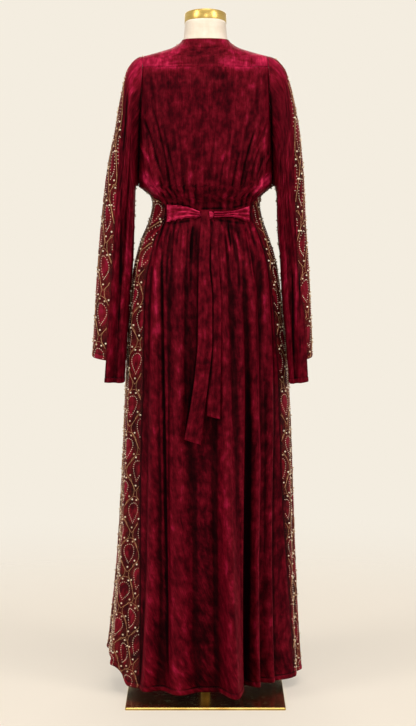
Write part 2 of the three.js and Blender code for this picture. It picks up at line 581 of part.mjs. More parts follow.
function sleevePoint(side, table, turn, t) {
  const row = {};
  for (const c of ['outX', 'outZ', 'inX', 'inZ', 'back', 'front', 'midY']) row[c] = read(table, 't', c, t);
  const cos = Math.cos(turn);
  const sin = Math.sin(turn);
  const across = 0.5 + 0.5 * cos * (1 + FULLNESS * sin * sin);
  const deep = Math.abs(sin) * (1 + FULLNESS * cos * cos) * (sin > 0 ? -row.back : row.front);
  const point = new THREE.Vector3(
    side * mix(row.inX, row.outX, across), row.midY + deep, mix(row.inZ, row.outZ, across));
  const turnDeg = THREE.MathUtils.euclideanModulo(THREE.MathUtils.radToDeg(turn), 360);
  for (const f of SLEEVE_FOLDS) {
    const grown = f.high * easeBetween(t, f.from, f.from + 0.4) * ridge(turnDeg, f.at, f.wide);
    point.y += grown * (sin > 0 ? -1 : 1);
  }
  const joined = 1 - easeBetween(t, 0, SLEEVE_BLEND);
  if (joined === 0) return point;
  const seam = armholePoint(side, turn);
  seam.x += side * (SEAM_GAP + t * 160);
  return point.lerp(seam, joined);
}

function buildSleeve(side, name, table, seamTable) {
  const rows = [0, 0.02, 0.045, 0.07, 0.1, 0.15, 0.22, 0.32, 0.44, 0.58, 0.75, SLEEVE_FRONT_END, 1];
  const surface = (turn, t) => sleevePoint(side, table, turn, t);
  const armholeOut = new THREE.Vector3(side * (shoulderZ - UNDERARM_Z), 0, ARMHOLE.lowX - ARMHOLE.topX).normalize();
  const inset = (turn, t) => SEAM_GAP / 2 / (surface(turn + 1e-3, t).distanceTo(surface(turn - 1e-3, t)) / 2e-3);
  const panel = (part, material, columns, spread, from, to, count) => {
    const spans = rows.slice(0, count).map((t) => {
      const start = from(t);
      const end = to(t);
      return [start + inset(start, t), end - inset(end, t)];
    });
    const turnAt = (i, j) => mix(...spans[j], spread(side > 0 ? i / columns : 1 - i / columns));
    const pointAt = (i, j) => surface(turnAt(i, j), rows[j]);
    const normalOf = (i, j) => {
      const normal = normalAt(surface, turnAt(i, j), Math.max(rows[j], 2e-3), 4e-3, 1e-3).multiplyScalar(side);
      return j > 0 ? normal : normal.projectOnPlane(armholeOut).normalize();
    };
    add(part, wall(columns, count - 1, pointAt, normalOf, CLOTH), material);
  };
  const upper = (t) => rad(read(seamTable, 't', 'at', t));
  const lower = () => rad(UNDERARM_SEAM);
  panel(`${name}_back`, materials.velvet, 14, (u) => u ** 1.4, upper, lower, rows.length);
  panel(`${name}_front`, materials.embroidered, 14, (u) => 1 - (1 - u) ** 1.4, lower,
    (t) => 2 * Math.PI + upper(t), rows.length - 1);
}

// The outermost cloth of the back between two distances from the middle plane, at a height
const backSections = new Map();
function backReach(z, fromX, toX) {
  const level = Math.round(z / 3) * 3;
  if (!backSections.has(level)) {
    backSections.set(level, Array.from({ length: 161 }, (_, i) => bodyPoint(rad((i - 80) * 0.7), level)));
  }
  const near = backSections.get(level).filter((p) => p.x > fromX - 2 && p.x < toX + 2);
  return Math.min(...near.map((p) => p.y));
}

// A band of the tie along the waist, drawn together towards the knot into lengthwise pleats
function buildBand(name, table) {
  const columns = 12;
  const rows = 8;
  const first = table[0].x;
  const last = table[table.length - 1].x;
  const surface = (u, v) => {
    const x = mix(first, last, u);
    const low = read(table, 'x', 'low', x);
    const high = read(table, 'x', 'high', x);
    const nearKnot = 1 - Math.abs(x - KNOT.x) / 110;
    const pleats = (1.2 + 2.2 * clamp01(nearKnot)) * (0.5 - 0.5 * Math.cos(v * 3 * 2 * Math.PI));
    const base = backReach(mix(low, high, v), x - 8, x + 8);
    const widest = Math.min(base, backReach(TIE_Z, x - 8, x + 8));
    return new THREE.Vector3(x, widest - TIE_CLEAR - TIE_CLOTH - pleats, mix(low, high, v));
  };
  const pointAt = (i, j) => surface(i / columns, j / rows);
  const normalOf = (i, j) => normalAt(surface, i / columns, j / rows, 1e-2, 1e-2);
  add(name, wall(columns, rows, pointAt, normalOf, TIE_CLOTH), materials.velvet);
}

const knotSeat = () => backReach(KNOT.z, KNOT.x - 14, KNOT.x + 14) - KNOT_CLEAR - KNOT.deep / 2;

function buildKnot() {
  const sides = 16;
  const slices = 8;
  const rings = [];
  for (let j = 1; j < slices; j += 1) {
    const along = (j / slices) * Math.PI;
    const swell = Math.sin(along) ** 0.6;
    rings.push(Array.from({ length: sides }, (_, i) => {
      const turn = -(i / sides) * 2 * Math.PI;
      return new THREE.Vector3(
        KNOT.x - (KNOT.wide / 2) * Math.cos(along),
        knotSeat() - (KNOT.deep / 2) * swell * Math.cos(turn),
        KNOT.z + (KNOT.high / 2) * swell * Math.sin(turn),
      );
    }));
  }
  add('knot', loft(rings), materials.velvet);
}

// The path of a tail in height and depth: taut over the hips from the knot, then plumb. Both tails lie on the
// ridges under either of them, the long one over the short one.
function tailPath(table, layer) {
  const top = table[0].z;
  const step = (top - table[table.length - 1].z) / 16;
  let reach = 0;
  return Array.from({ length: 17 }, (_, i) => {
    const z = top - i * step;
    const left = Math.min(read(TAIL_LONG, 'z', 'left', z), 0) - 4;
    const right = read(TAIL_SHORT, 'z', 'right', z) + 4;
    for (const near of [z - 6, z, z + 6]) reach = Math.min(reach, backReach(near, left, right));
    return { y: reach - TAIL_CLEAR - TIE_CLOTH - layer * TAIL_LAYER, z };
  }).reverse();
}

function buildTail(name, table, path, twist) {
  const columns = 5;
  const surface = (u, v) => {
    const i = Math.min(path.length - 2, Math.max(0, Math.floor(v)));
    const y = mix(path[i].y, path[i + 1].y, v - i);
    const z = mix(path[i].z, path[i + 1].z, v - i);
    const x = mix(read(table, 'z', 'left', z), read(table, 'z', 'right', z), u);
    return new THREE.Vector3(x, y + twist * Math.sin(v * 0.6) * (u - 0.5), z);
  };
  const pointAt = (i, j) => surface(i / columns, j);
  const normalOf = (i, j) => normalAt(surface, i / columns, j, 1e-2, 1e-2);
  add(name, wall(columns, path.length - 1, pointAt, normalOf, TIE_CLOTH), materials.velvet);
}

// The long tail leaves the knot over its top; the short one hangs out from under it
function buildTails() {
  const face = knotSeat() - KNOT.deep / 2 - SEAM_GAP - TIE_CLOTH;
  const over = TIE_CLOTH + SEAM_GAP;
  const long = tailPath(TAIL_LONG, 1).filter(({ z }) => z < KNOT.z - KNOT.high);
  long.push(
    { y: face, z: KNOT.z - 4 },
    { y: face + 0.6, z: KNOT.z + 4 },
    { y: face + 2.6, z: KNOT.z + KNOT.high / 2 + over - 2.2 },
    { y: face + 6, z: KNOT.z + KNOT.high / 2 + over + 0.2 },
    { y: face + 10, z: KNOT.z + KNOT.high / 2 + over },
  );
  buildTail('tail_long', TAIL_LONG, long, 0);
  buildTail('tail_short', TAIL_SHORT, tailPath(TAIL_SHORT, 0), 0.8);
}

buildStand();
buildForm();
buildBody();
buildSleeve(-1, 'sleeve_left', SLEEVE_LEFT, SLEEVE_SEAM_LEFT);
buildSleeve(1, 'sleeve_right', SLEEVE_RIGHT, SLEEVE_SEAM_RIGHT);
buildBand('tie_left', TIE_LEFT);
buildBand('tie_right', TIE_RIGHT);
buildKnot();
buildTails();

// The middle of the whole outline stands over the origin.
const outline = new THREE.Box3().setFromObject(group);
group.position.set(-(outline.min.x + outline.max.x) / 2, -(outline.min.y + outline.max.y) / 2, 0);

export default group;
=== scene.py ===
"""A floor-length jalabiya in crushed velvet, tied behind the waist, on a limbless dress form with a brass stand.

The wearer's back faces -Y and the left hand side is at -X. Surfaces are worked out in millimetres round the
middle of the base plate, and become metres in the frame's own place when a mesh is made.
"""
import logging
import math
from dataclasses import dataclass, field
from enum import Enum
from typing import Callable

import bmesh
import bpy
import numpy as np
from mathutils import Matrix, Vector


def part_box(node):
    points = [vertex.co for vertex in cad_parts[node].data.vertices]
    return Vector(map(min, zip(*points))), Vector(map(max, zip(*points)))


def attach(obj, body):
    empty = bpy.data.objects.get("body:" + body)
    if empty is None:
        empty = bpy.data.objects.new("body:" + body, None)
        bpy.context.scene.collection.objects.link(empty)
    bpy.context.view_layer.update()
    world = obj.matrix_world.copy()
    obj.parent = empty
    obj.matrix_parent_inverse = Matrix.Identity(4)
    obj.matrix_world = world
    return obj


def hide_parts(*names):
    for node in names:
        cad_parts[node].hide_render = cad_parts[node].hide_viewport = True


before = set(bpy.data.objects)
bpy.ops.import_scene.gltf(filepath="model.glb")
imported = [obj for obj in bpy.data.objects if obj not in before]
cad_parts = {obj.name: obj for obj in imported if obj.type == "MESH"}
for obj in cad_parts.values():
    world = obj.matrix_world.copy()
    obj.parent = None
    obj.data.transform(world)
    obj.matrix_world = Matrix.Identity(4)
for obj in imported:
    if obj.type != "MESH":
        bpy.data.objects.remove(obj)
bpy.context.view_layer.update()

LOG = logging.getLogger("jalabiya")
MM = 0.001
ROOT = "root"
UV_NAME = "cut"
# The mesh attribute that holds the painted fold shading: painted shade in troughs and seams, painted highlights on
# ridges.
PAINTED_FOLD_SHADING_NAME = "lie"
FULLNESS = 0.16          # how much fuller than an ellipse a section of body or sleeve is
EVERYWHERE = 1e6         # beyond every distance and height here, in mm

Array = np.ndarray
Face = tuple[int, ...]
Creases = tuple[tuple[float, ...], ...]
Material, Object = bpy.types.Material, bpy.types.Object
Node, NodeSocket, NodeTree = bpy.types.Node, bpy.types.NodeSocket, bpy.types.NodeTree


class Side(Enum):
    """The wearer's sides as the camera sees them, with the sign of X there."""

    LEFT = -1
    RIGHT = 1


class BodyPiece(Enum):
    """Which cut of the garment's body an edge belongs to."""

    BACK = "back"
    FRONT = "front"


class Table:
    """Rows of sizes, read between the rows as smooth curves that never overshoot one."""

    def __init__(self, columns: str, *rows: tuple[float, ...]) -> None:
        """Sorts the rows by their first column and prepares each column's slopes.

        Args:
            columns: The columns' names, the first of which is the place that the others are read at.
            rows: One tuple of numbers for each row.
        """
        names = columns.split()
        self.rows = [dict(zip(names, row)) for row in rows]
        grid = np.array(sorted(rows), float)
        self.key = grid[:, 0]
        self.values = {name: grid[:, i] for i, name in enumerate(names)}
        self.slopes = {name: self._slopes(grid[:, i]) for i, name in enumerate(names)}

    def _slopes(self, values: Array) -> Array:
        """Works out a slope at each row that keeps the curve between its rows.

        Args:
            values: One column.

        Returns:
            The slope at each row.
        """
        steps = np.diff(values) / np.diff(self.key)
        before, after = steps[:-1], steps[1:]
        inner = np.zeros(len(steps) - 1)
        same = before * after > 0
        inner[same] = 2 * before[same] * after[same] / (before[same] + after[same])
        return np.concatenate([steps[:1], inner, steps[-1:]])

    def read(self, column: str, place: Array) -> Array:
        """Reads a column.

        Args:
            column: The column's name.
            place: Where to read it. Beyond the ends it keeps the end's value.

        Returns:
            The values there.
        """
        at = np.clip(np.asarray(place, float), self.key[0], self.key[-1])
        i = np.clip(np.searchsorted(self.key, at, side="right") - 1, 0, len(self.key) - 2)
        span = self.key[i + 1] - self.key[i]
        s = (at - self.key[i]) / span
        value, slope = self.values[column], self.slopes[column]
        return (
            value[i] * (2 * s**3 - 3 * s**2 + 1)
            + slope[i] * span * (s**3 - 2 * s**2 + s)
            + value[i + 1] * (3 * s**2 - 2 * s**3)
            + slope[i + 1] * span * (s**3 - s**2)
        )


# The dress form: half width and the reach of back and front at each height.
FORM = Table(
    "z half back front",
    (846, 112, -56, 56), (853, 143, -82, 78), (872, 158, -98, 90), (915, 166, -106, 95),
    (970, 168, -109, 98), (1030, 160, -104, 98), (1090, 140, -89, 94), (1140, 117, -73, 86),
    (1175, 110, -67, 81), (1215, 116, -70, 86), (1265, 130, -80, 99), (1315, 142, -90, 112),
    (1360, 150, -96, 117), (1410, 158, -98, 105), (1455, 163, -96, 86), (1490, 167, -90, 68),
    (1510, 168, -84, 57), (1522, 166, -79, 51), (1530, 161.5, -75, 49), (1536.5, 149, -70, 48),
    (1541.5, 130.5, -66, 48), (1549, 104.5, -61, 50), (1557, 80.5, -55, 53), (1567, 63, -48, 56),
    (1577, 54, -42, 59), (1592, 51, -37, 62), (1618, 49, -34, 64),
)
# The garment's body as it hangs: its reach each way, how far forward its widest points lie, and its side seams.
BODY = Table(
    "z left right back front leftY rightY seamL seamR",
    (24, 250, 226, -112, 212, 150, 84, 160, 219), (70, 242, 223, -113, 209, 144, 80, 159, 217),
    (165, 230, 218, -115, 202, 128, 72, 158, 211), (310, 216, 213, -118, 190, 106, 60, 158, 200),
    (470, 207, 209, -120, 176, 82, 48, 157, 188), (640, 200, 205, -121, 162, 58, 36, 154, 181),
    (750, 195, 200, -122, 152, 42, 28, 150, 177), (862, 189, 192, -122, 140, 28, 20, 148, 170),
    (960, 182, 182, -121, 126, 16, 12, 146, 161), (1030, 174, 173, -116, 113, 8, 6, 139, 152),
    (1070, 165, 164, -108, 106, 5, 4, 129, 143), (1110, 151, 150, -98, 100, 4, 4, 120, 131),
    (1140, 138, 139, -88, 95, 4, 4, 101, 118), (1168, 130, 132, -80, 91, 4, 4, 94, 108),
    (1190, 126, 129, -83, 94, 4, 4, 98, 111), (1206, 129, 131, -91, 102, 3, 3, 122, 125),
    (1222, 146, 147, -98, 108, 2, 2, 145, 146), (1233, 160, 160, -102, 113, 2, 2, 160, 160),
    (1270, 165, 165, -109, 124, 2, 2, 165, 165), (1320, 168, 168, -113, 132, 0, 0, 168, 168),
    (1370, 169, 169, -113, 131, -2, -2, 169, 169), (1420, 170, 170, -110, 119, -5, -5, 170, 170),
    (1465, 174, 174, -104, 99, -8, -8, 174, 174), (1500, 178, 178, -93, 74, -12, -12, 178, 178),
    (1580, 178, 178, -93, 74, -12, -12, 178, 178),
)
# Folds of the skirt: degrees round the body at tie and hem, half widths there, and how high they stand.
SKIRT_FOLDS = Table(
    "tie hem tieWide hemWide tieHigh midHigh hemHigh",
    (-37, -29, 6, 7, 6, 12, 24), (-19, -12, 7, 10, 6, 15, 36), (10, 14, 7, 8, 6, 22, 76),
    (33, 34, 7, 9, 6, 20, 42), (48, 56, 6, 10, 5, 12, 26), (-62, -58, 7, 8, 4, 9, 20),
    (-112, -112, 14, 15, 4, 12, 26), (-146, -143, 14, 16, 4, 14, 30), (178, 178, 14, 16, 4, 15, 32),
    (142, 141, 14, 16, 4, 13, 28), (106, 108, 14, 15, 4, 11, 24),
)
# Ridges that the tie presses in over and under it: degrees, half width, height, and where they fade out.
GATHERS = Table(
    "at wide high below above",
    (-44, 3.6, 5, 120, 130), (-31, 3.4, 6, 150, 190), (-25, 3.0, 5, 110, 120), (-12, 3.6, 6, 150, 150),
    (-4, 3.4, 5, 120, 100), (4, 3.2, 5, 110, 130), (17, 3.6, 6, 170, 160), (25, 3.2, 6, 170, 120),
    (40, 3.6, 6, 150, 180), (66, 5, 4, 110, 90), (-66, 5, 4, 110, 90), (-95, 10, 4, 130, 110),
    (92, 10, 4, 130, 110), (-128, 10, 4, 130, 120), (124, 10, 4, 130, 120), (-162, 10, 4, 130, 120),
    (160, 10, 4, 130, 120),
)
# Folds of the bodice, fanning from the tie towards the armholes.
BODICE_FOLDS = Table(
    "tie top wide high topZ",
    (-47, -58, 5, 11, 1470), (-36, -49, 5, 9, 1440), (-18, -27, 6, 6, 1380), (10, 13, 7, 6, 1370),
    (31, 42, 5, 8, 1420), (46, 57, 5, 12, 1470), (-142, -134, 8, 7, 1420), (142, 134, 8, 7, 1420),
)
# The sleeves as they hang: outer and inner edge of each section and its reach to back and front.
SLEEVE_LEFT = Table(
    "t outX outZ inX inZ back front midY",
    (0.00, 149, 1538, 160, 1233, 66, 58, -13), (0.04, 174, 1529, 163, 1232, 70, 62, -13),
    (0.08, 186, 1510, 166, 1230, 73, 65, -12), (0.14, 194, 1480, 168, 1222, 74, 68, -11),
    (0.22, 205, 1428, 169, 1200, 76, 70, -9), (0.32, 219, 1350, 170, 1163, 77, 71, -7),
    (0.44, 236, 1255, 172, 1113, 77, 72, -5), (0.57, 249, 1140, 175, 1048, 77, 73, -4),
    (0.70, 259, 1025, 181.5, 973, 77, 74, -4), (0.84, 268, 898, 188, 876, 77, 76, -4),
    (1.00, 276, 770, 194.5, 763, 78, 78, -4),
)
SLEEVE_RIGHT = Table(
    "t outX outZ inX inZ back front midY",
    (0.00, 149, 1538, 160, 1233, 66, 58, -13), (0.04, 175, 1529, 163, 1232, 70, 62, -13),
    (0.08, 189, 1511, 166, 1230, 73, 65, -12), (0.14, 199, 1482, 169, 1222, 74, 68, -11),
    (0.22, 213, 1428, 171, 1200, 76, 70, -9), (0.32, 226, 1350, 172, 1163, 77, 71, -7),
    (0.44, 235, 1255, 174, 1113, 77, 72, -5), (0.57, 241, 1140, 180, 1048, 77, 73, -4),
    (0.70, 249, 1025, 183.5, 973, 77, 74, -4), (0.84, 255, 898, 192.5, 876, 77, 76, -4),
    (1.00, 259, 771, 200.5, 761, 78, 78, -4),
)
# Where the upper seam between a sleeve's two panels runs, in degrees from its outer edge over its back.
SEAM_LEFT = Table("t at", (0, 0), (0.08, 22), (0.22, 60), (0.44, 79), (0.7, 86), (1, 83))
SEAM_RIGHT = Table("t at", (0, 0), (0.08, 20), (0.22, 54), (0.44, 79), (0.68, 82), (0.8, 68), (1, 60))
SLEEVE_FOLDS = Table(
    "at wide high from",
    (112, 20, -13, 0.12), (150, 18, 5, 0.2), (250, 24, -9, 0.2), (310, 24, 5, 0.2),
)
# The tie's bands from the side seams to the knot, and its two tails.
BAND_LEFT = Table("x low high", (-92, 1148, 1189), (-51, 1157, 1186), (-12, 1160, 1174))
BAND_RIGHT = Table("x low high", (20, 1159, 1173), (60, 1160, 1175), (105, 1148, 1186))
TAIL_LONG = Table(
    "z left right",
    (1172, -10, 9), (1150, -12, 11), (1122, -13, 12), (1056, -16, 9), (967, -17, 16), (873, -18, 16),
    (800, -24, 10), (731, -33, 1), (683, -41, -5), (632, -50, -11),
)
TAIL_SHORT = Table(
    "z left right",
    (1154.8, 2, 18), (1146, 0, 24), (1122, -2, 30), (1024, 1, 33), (967, 4, 37), (849, 4, 37), (778, 5, 36),
    (690, 3, 35),
)

# Creases laid one by one: from and to (x, z) in mm, half width, height (a trough is negative) and how far it bows.
BACK_CREASES = (
    (-152, 1405, -98, 1196, 5.5, -3.6, 9), (-159, 1340, -106, 1202, 6, 3.8, 7), (-141, 1335, -90, 1194, 5, 3.0, 7),
    (-129, 1428, -80, 1200, 6, -3.0, 7), (-113, 1392, -73, 1196, 5, 2.6, 5), (-97, 1345, -63, 1196, 5, -2.6, 4),
    (-74, 1392, -55, 1194, 6, 1.8, 3), (-58, 1300, -47, 1192, 4.5, -2.4, 0), (-38, 1312, -34, 1190, 5, 2.2, 0),
    (-24, 1272, -22, 1194, 4, -2.4, 0), (-9, 1330, -6, 1192, 4.5, 1.8, 0), (12, 1296, 8, 1192, 4, -2.2, 0),
    (27, 1352, 19, 1192, 5, 2.4, -2), (45, 1302, 33, 1192, 4.5, -2.6, -3), (66, 1372, 48, 1194, 5, 2.4, -3),
    (86, 1332, 60, 1196, 5, -2.8, -4), (104, 1424, 70, 1198, 6, 2.6, -6), (119, 1372, 80, 1196, 5, -3.4, -6),
    (137, 1348, 91, 1200, 5.5, 3.6, -7), (154, 1398, 101, 1204, 6, -3.6, -8), (158, 1318, 112, 1214, 6, 3.4, -6),
    (-158, 1268, -120, 1220, 5, -2.6, 5), (156, 1262, 122, 1222, 5, -2.4, -5), (-148, 1246, -112, 1212, 4, 2.4, 3),
    (-130, 1500, -120, 1385, 7, -2.4, 3), (128, 1502, 122, 1392, 7, -2.4, -3), (-96, 1490, -92, 1400, 8, 1.6, 0),
    (-91, 1144, -106, 1048, 4, 3.2, -3), (-80, 1144, -93, 990, 4.5, -3.0, -3), (-66, 1144, -75, 1036, 3.5, 3.4, -2),
    (-56, 1146, -62, 940, 4.5, -3.2, -2), (-44, 1146, -49, 1052, 3.5, 3.4, 0), (-32, 1144, -36, 972, 4, -2.8, 0),
    (37, 1150, 45, 1052, 3.5, 4.0, 2), (43, 1142, 57, 986, 4, -3.4, 2), (54, 1148, 67, 1038, 3.5, 4.0, 2),
    (67, 1144, 81, 962, 4.5, -3.4, 3), (82, 1144, 99, 1044, 4, 3.6, 3), (95, 1140, 117, 1000, 4, -3.2, 4),
    (-118, 1082, -117, 640, 7, 1.8, 2), (-130, 720, -136, 210, 8, -1.4, 3),
    (-60, 900, -63, 520, 8, 1.4, 0), (-62, 480, -66, 90, 9, 1.6, 2), (-43, 1080, -46, 680, 6, -1.8, -2),
    (-24, 612, -29, 70, 9, -1.2, 2), (8, 600, 6, 330, 8, 1.2, 0), (22, 520, 27, 60, 9, -1.4, -2),
    (46, 1010, 52, 560, 8, 1.6, 2), (52, 500, 58, 90, 8, 1.6, 0), (62, 940, 66, 610, 6, -1.4, 0),
    (76, 700, 80, 120, 6, 1.6, 0), (124, 1030, 130, 590, 6, -2.2, 3), (134, 1010, 142, 700, 7, 1.8, 3),
    (128, 640, 138, 240, 8, 1.6, 0), (152, 720, 164, 190, 8, -1.4, 4), (184, 560, 196, 150, 8, 1.4, 3),
    (-112, 360, -116, 60, 7, 1.2, 0), (-104, 1110, -89, 14, 4.2, -7.0, 0), (-82, 760, -80, 60, 7, 1.4, 0),
)
YOKE_CREASES = (
    (-118, 1524, -52, 1533, 5, 1.0, 3), (-96, 1516, -20, 1520, 4, -0.8, 2), (-70, 1548, -8, 1552, 5, 0.9, -4),
    (112, 1522, 50, 1531, 5, 1.0, 3), (88, 1515, 24, 1519, 4, -0.8, 2), (66, 1546, 6, 1556, 5, 0.9, -4),
    (-40, 1560, 34, 1562, 4, -0.9, -3),
)
FRONT_CREASES = (
    (-120, 1400, -86, 1196, 6, 2.8, 6), (-104, 1380, -70, 1194, 5.5, -3.0, 5), (-84, 1350, -58, 1194, 5, 2.4, 4),
    (-52, 1372, -40, 1192, 5.5, -2.6, 2), (-26, 1340, -22, 1192, 5, 2.2, 0), (4, 1362, 2, 1192, 5, -2.4, 0),
    (28, 1334, 22, 1192, 5, 2.4, 0), (56, 1376, 43, 1194, 5.5, -2.8, -3), (86, 1346, 60, 1194, 5, 2.6, -4),
    (108, 1392, 74, 1196, 6, -3.0, -6), (130, 1360, 90, 1200, 6, 3.0, -7),
    (-88, 1146, -104, 1030, 5, 3.0, -3), (-68, 1144, -82, 960, 5, -3.0, -3), (-48, 1146, -57, 1010, 4.5, 3.2, -2),
    (-26, 1146, -30, 940, 5, -2.8, 0), (-4, 1146, -5, 1020, 4.5, 3.0, 0), (22, 1146, 26, 960, 5, -3.0, 1),
    (46, 1146, 55, 1030, 4.5, 3.2, 2), (70, 1144, 86, 950, 5, -3.0, 3), (92, 1142, 110, 1020, 5, 3.0, 4),
    (-120, 980, -138, 520, 9, 2.8, 4), (-84, 900, -96, 420, 9, -2.6, 3), (-40, 860, -46, 300, 10, 2.4, 0),
    (6, 900, 4, 380, 10, -2.6, 0), (52, 880, 60, 340, 9, 2.6, -2), (98, 920, 116, 400, 9, -2.8, -4),
    (-150, 480, -172, 90, 10, -2.4, 4), (-70, 400, -80, 60, 10, 2.2, 2), (30, 420, 34, 60, 10, -2.2, 0),
    (140, 500, 166, 80, 10, 2.6, -4),
)
# Painted highlights and painted shade lines, laid out as the creases are: 1 paints a highlight as on a fold's
# ridge, and -1 paints shade down to black as in a sharp fold.
BACK_PAINTED_LIGHT_AND_SHADE = (
    (-160, 1270, -104, 1210, 20, 4.4, 0), (167, 1266, 108, 1212, 18, 4.0, 0), (-148, 1334, -108, 1210, 12, 1.3, 4),
    (150, 1396, 110, 1222, 12, 1.2, -4), (-122, 1120, -113, 850, 8, 1.4, 0), (42, 1138, 62, 1064, 7, 1.6, 2),
    (62, 1136, 92, 1054, 7, 1.6, 2), (90, 1130, 130, 1048, 9, 1.5, 2), (140, 1020, 136, 700, 9, 1.4, 0),
    (83, 760, 84, 40, 5, 0.7, 0), (136, 700, 136, 40, 8, 0.7, 0), (-77, 560, -79, 40, 8, 0.9, 0),
    (-50, 1136, -62, 1010, 7, 1.1, 0), (-136, 900, -150, 200, 7, 0.6, 0), (40, 700, 46, 120, 16, 0.6, 0),
    (-104, 1144, -101, 900, 3.6, -1.4, 0), (-101, 900, -89, 30, 4.2, -1.5, 0), (-30, 1150, -36, 1056, 5, -1.5, 0),
    (53, 1150, 61, 1064, 3.4, -1.3, 0), (93, 1142, 119, 976, 4, -1.4, -3), (119, 980, 125, 790, 3.6, -1.3, 0),
    (-92, 1194, -18, 1180, 4, -1.4, 0), (-18, 1180, 60, 1181, 4, -1.5, 0), (60, 1181, 106, 1192, 4, -1.3, 0),
    (-90, 1143, -16, 1155, 4, -1.0, 0), (22, 1154, 104, 1143, 4, -1.1, 0),
)
# Painted highlights and painted shade lines on the sleeves, laid out the same way.
SLEEVE_PAINTED_LIGHT_AND_SHADE = (
    (-182, 1470, -198, 1280, 5, -1.2, 2), (-198, 1280, -203, 960, 5, -1.3, 0), (-203, 960, -203, 775, 7, -1.3, 0),
    (-186, 1130, -188, 920, 8, 0.9, 0), (-214, 1070, -217, 850, 6, 0.8, 0), (-176, 1500, -184, 1320, 9, 1.0, 2),
    (-226, 1000, -230, 800, 5, 0.6, 0), (214, 1085, 216, 776, 3, 1.5, 0), (207, 1060, 209, 776, 4, -1.2, 0),
    (222, 1070, 226, 776, 4.5, -1.2, 0), (196, 1380, 186, 1120, 8, 0.7, 0), (190, 1100, 196, 800, 7, 0.5, 0),
)
# The softboxes: place in metres, height they point at, width and height, watts and tint.
SOFTBOXES = (
    ("left", (-3.2, -2.6, 2.5), 1.0, (1.2, 2.4), 88, "#fffaf2"),
    ("right", (3.2, -2.8, 2.2), 0.9, (1.2, 2.4), 78, "#fff9f1"),
    ("top", (0.1, -1.4, 4.1), 1.2, (2.0, 1.6), 62, "#fffaf4"),
    ("camera", (0.4, -5.6, 1.7), 0.8, (1.6, 1.2), 34, "#fffaf4"),
    ("back", (0.0, 3.4, 2.6), 0.9, (2.6, 2.0), 50, "#fffaf4"),
)
# Creases of a sleeve panel: from and to (mm across, mm above the hem), half width, height and bow.
SLEEVE_BACK_CREASES = (
    (-34, 690, -40, 380, 7, 2.6, 3), (-12, 640, -20, 250, 8, -3.2, -4), (16, 600, 10, 120, 8, 2.8, 3),
    (38, 560, 40, 210, 7, -2.6, 0), (54, 480, 60, 60, 8, 2.2, -3), (-52, 420, -58, 40, 8, -2.4, 4),
    (-6, 330, -14, 30, 7, 2.0, 0), (-66, 560, -62, 330, 6, 1.8, 0),
)
SLEEVE_FRONT_CREASES = (
    (-48, 640, -58, 260, 8, 2.6, 4), (-16, 600, -22, 160, 8, -3.0, 0), (20, 620, 14, 220, 8, 2.6, -3),
    (52, 560, 60, 140, 8, -2.6, 3), (84, 480, 92, 60, 8, 2.2, -3), (-84, 460, -92, 80, 8, -2.2, 0),
    (36, 280, 30, 30, 7, 2.0, 0),
)


def ease(value: Array) -> Array:
    """Turns 0..1 into a curve that starts and ends softly."""
    held = np.clip(value, 0, 1)
    return held * held * (3 - 2 * held)


def ease_between(value: Array, start: float, end: float) -> Array:
    """Rises softly from 0 at start to 1 at end."""
    return ease((value - start) / (end - start))


def mix(one: Array, other: Array, share: Array) -> Array:
    """Goes from one value to the other."""
    return one + (other - one) * share


def unit(vectors: Array) -> Array:
    """Gives vectors the length 1."""
    return vectors / np.maximum(np.linalg.norm(vectors, axis=-1, keepdims=True), 1e-9)


def bulge(away: Array) -> Array:
    """Falls softly from 1 at no distance to 0 at a distance of 1."""
    return np.where(away < 1, 0.5 + 0.5 * np.cos(np.pi * np.minimum(away, 1)), 0.0)


def ridge(degrees: Array, centre: Array, wide: Array) -> Array:
    """Falls softly from 1 on a fold's ridge to 0 at its half width, all in degrees round the body."""
    return bulge(np.abs(np.mod(degrees - centre + 180, 360) - 180) / wide)


def crease_height(flat: Array, creases: Creases) -> Array:
    """Adds up the creases that run past each place.

    Args:
        flat: Places as (..., 2), in the plane that the creases are given in.
        creases: Rows of from, to, half width, height and bow.

    Returns:
        How far the cloth stands out at each place, in mm.
    """
    height = np.zeros(flat.shape[:-1])
    for x0, z0, x1, z1, wide, high, bow in creases:
        start, end = np.array([x0, z0], float), np.array([x1, z1], float)
        span = end - start
        length = float(np.linalg.norm(span))
        along = ((flat - start) @ span) / length**2
        reach = np.clip(along, 0, 1)
        side = np.array([-span[1], span[0]]) / length
        centre = bow * 4 * reach * (1 - reach)
        off = np.abs((flat - start) @ side - centre) / wide
        beyond = np.maximum(np.maximum(-along, along - 1) * length / wide, 0)
        taper = np.clip(np.minimum(reach / 0.18, (1 - reach) / 0.32), 0, 1)
        height += high * bulge(np.hypot(off, beyond)) * ease(taper)
    return height


def section(angle: Array, z: Array, reach: dict[str, Array]) -> Array:
    """Finds points on a rounded section, a little fuller than an ellipse.

    Args:
        angle: Radians from the centre back, positive to the right.
        z: The section's height.
        reach: How far it goes to left, right, back and front, and how far forward both sides lie.

    Returns:
        The points, in mm.
    """
    sin, cos = np.sin(angle), np.cos(angle)
    half = np.where(sin < 0, reach["left"], reach["right"])
    side_y = np.where(sin < 0, reach["leftY"], reach["rightY"])
    depth = np.abs(cos) * (1 + FULLNESS * sin * sin)
    end = np.where(cos > 0, reach["back"], reach["front"])
    x = half * sin * (1 + FULLNESS * cos * cos)
    return np.stack([x, mix(side_y, end, depth), z + 0 * x], -1)


def close_in(low: Array | float, high: Array | float, short: Callable[[Array], Array], steps: int) -> Array:
    """Closes in on where a rising curve reaches its limit.

    Args:
        low: Values before it.
        high: Values beyond it.
        short: Says whether the curve is short of its limit at a value.
        steps: How often the span between them is halved.

    Returns:
        The last values before it.
    """
    for _ in range(steps):
        middle = (low + high) / 2
        before = short(middle)
        low, high = np.where(before, middle, low), np.where(before, high, middle)
    return low


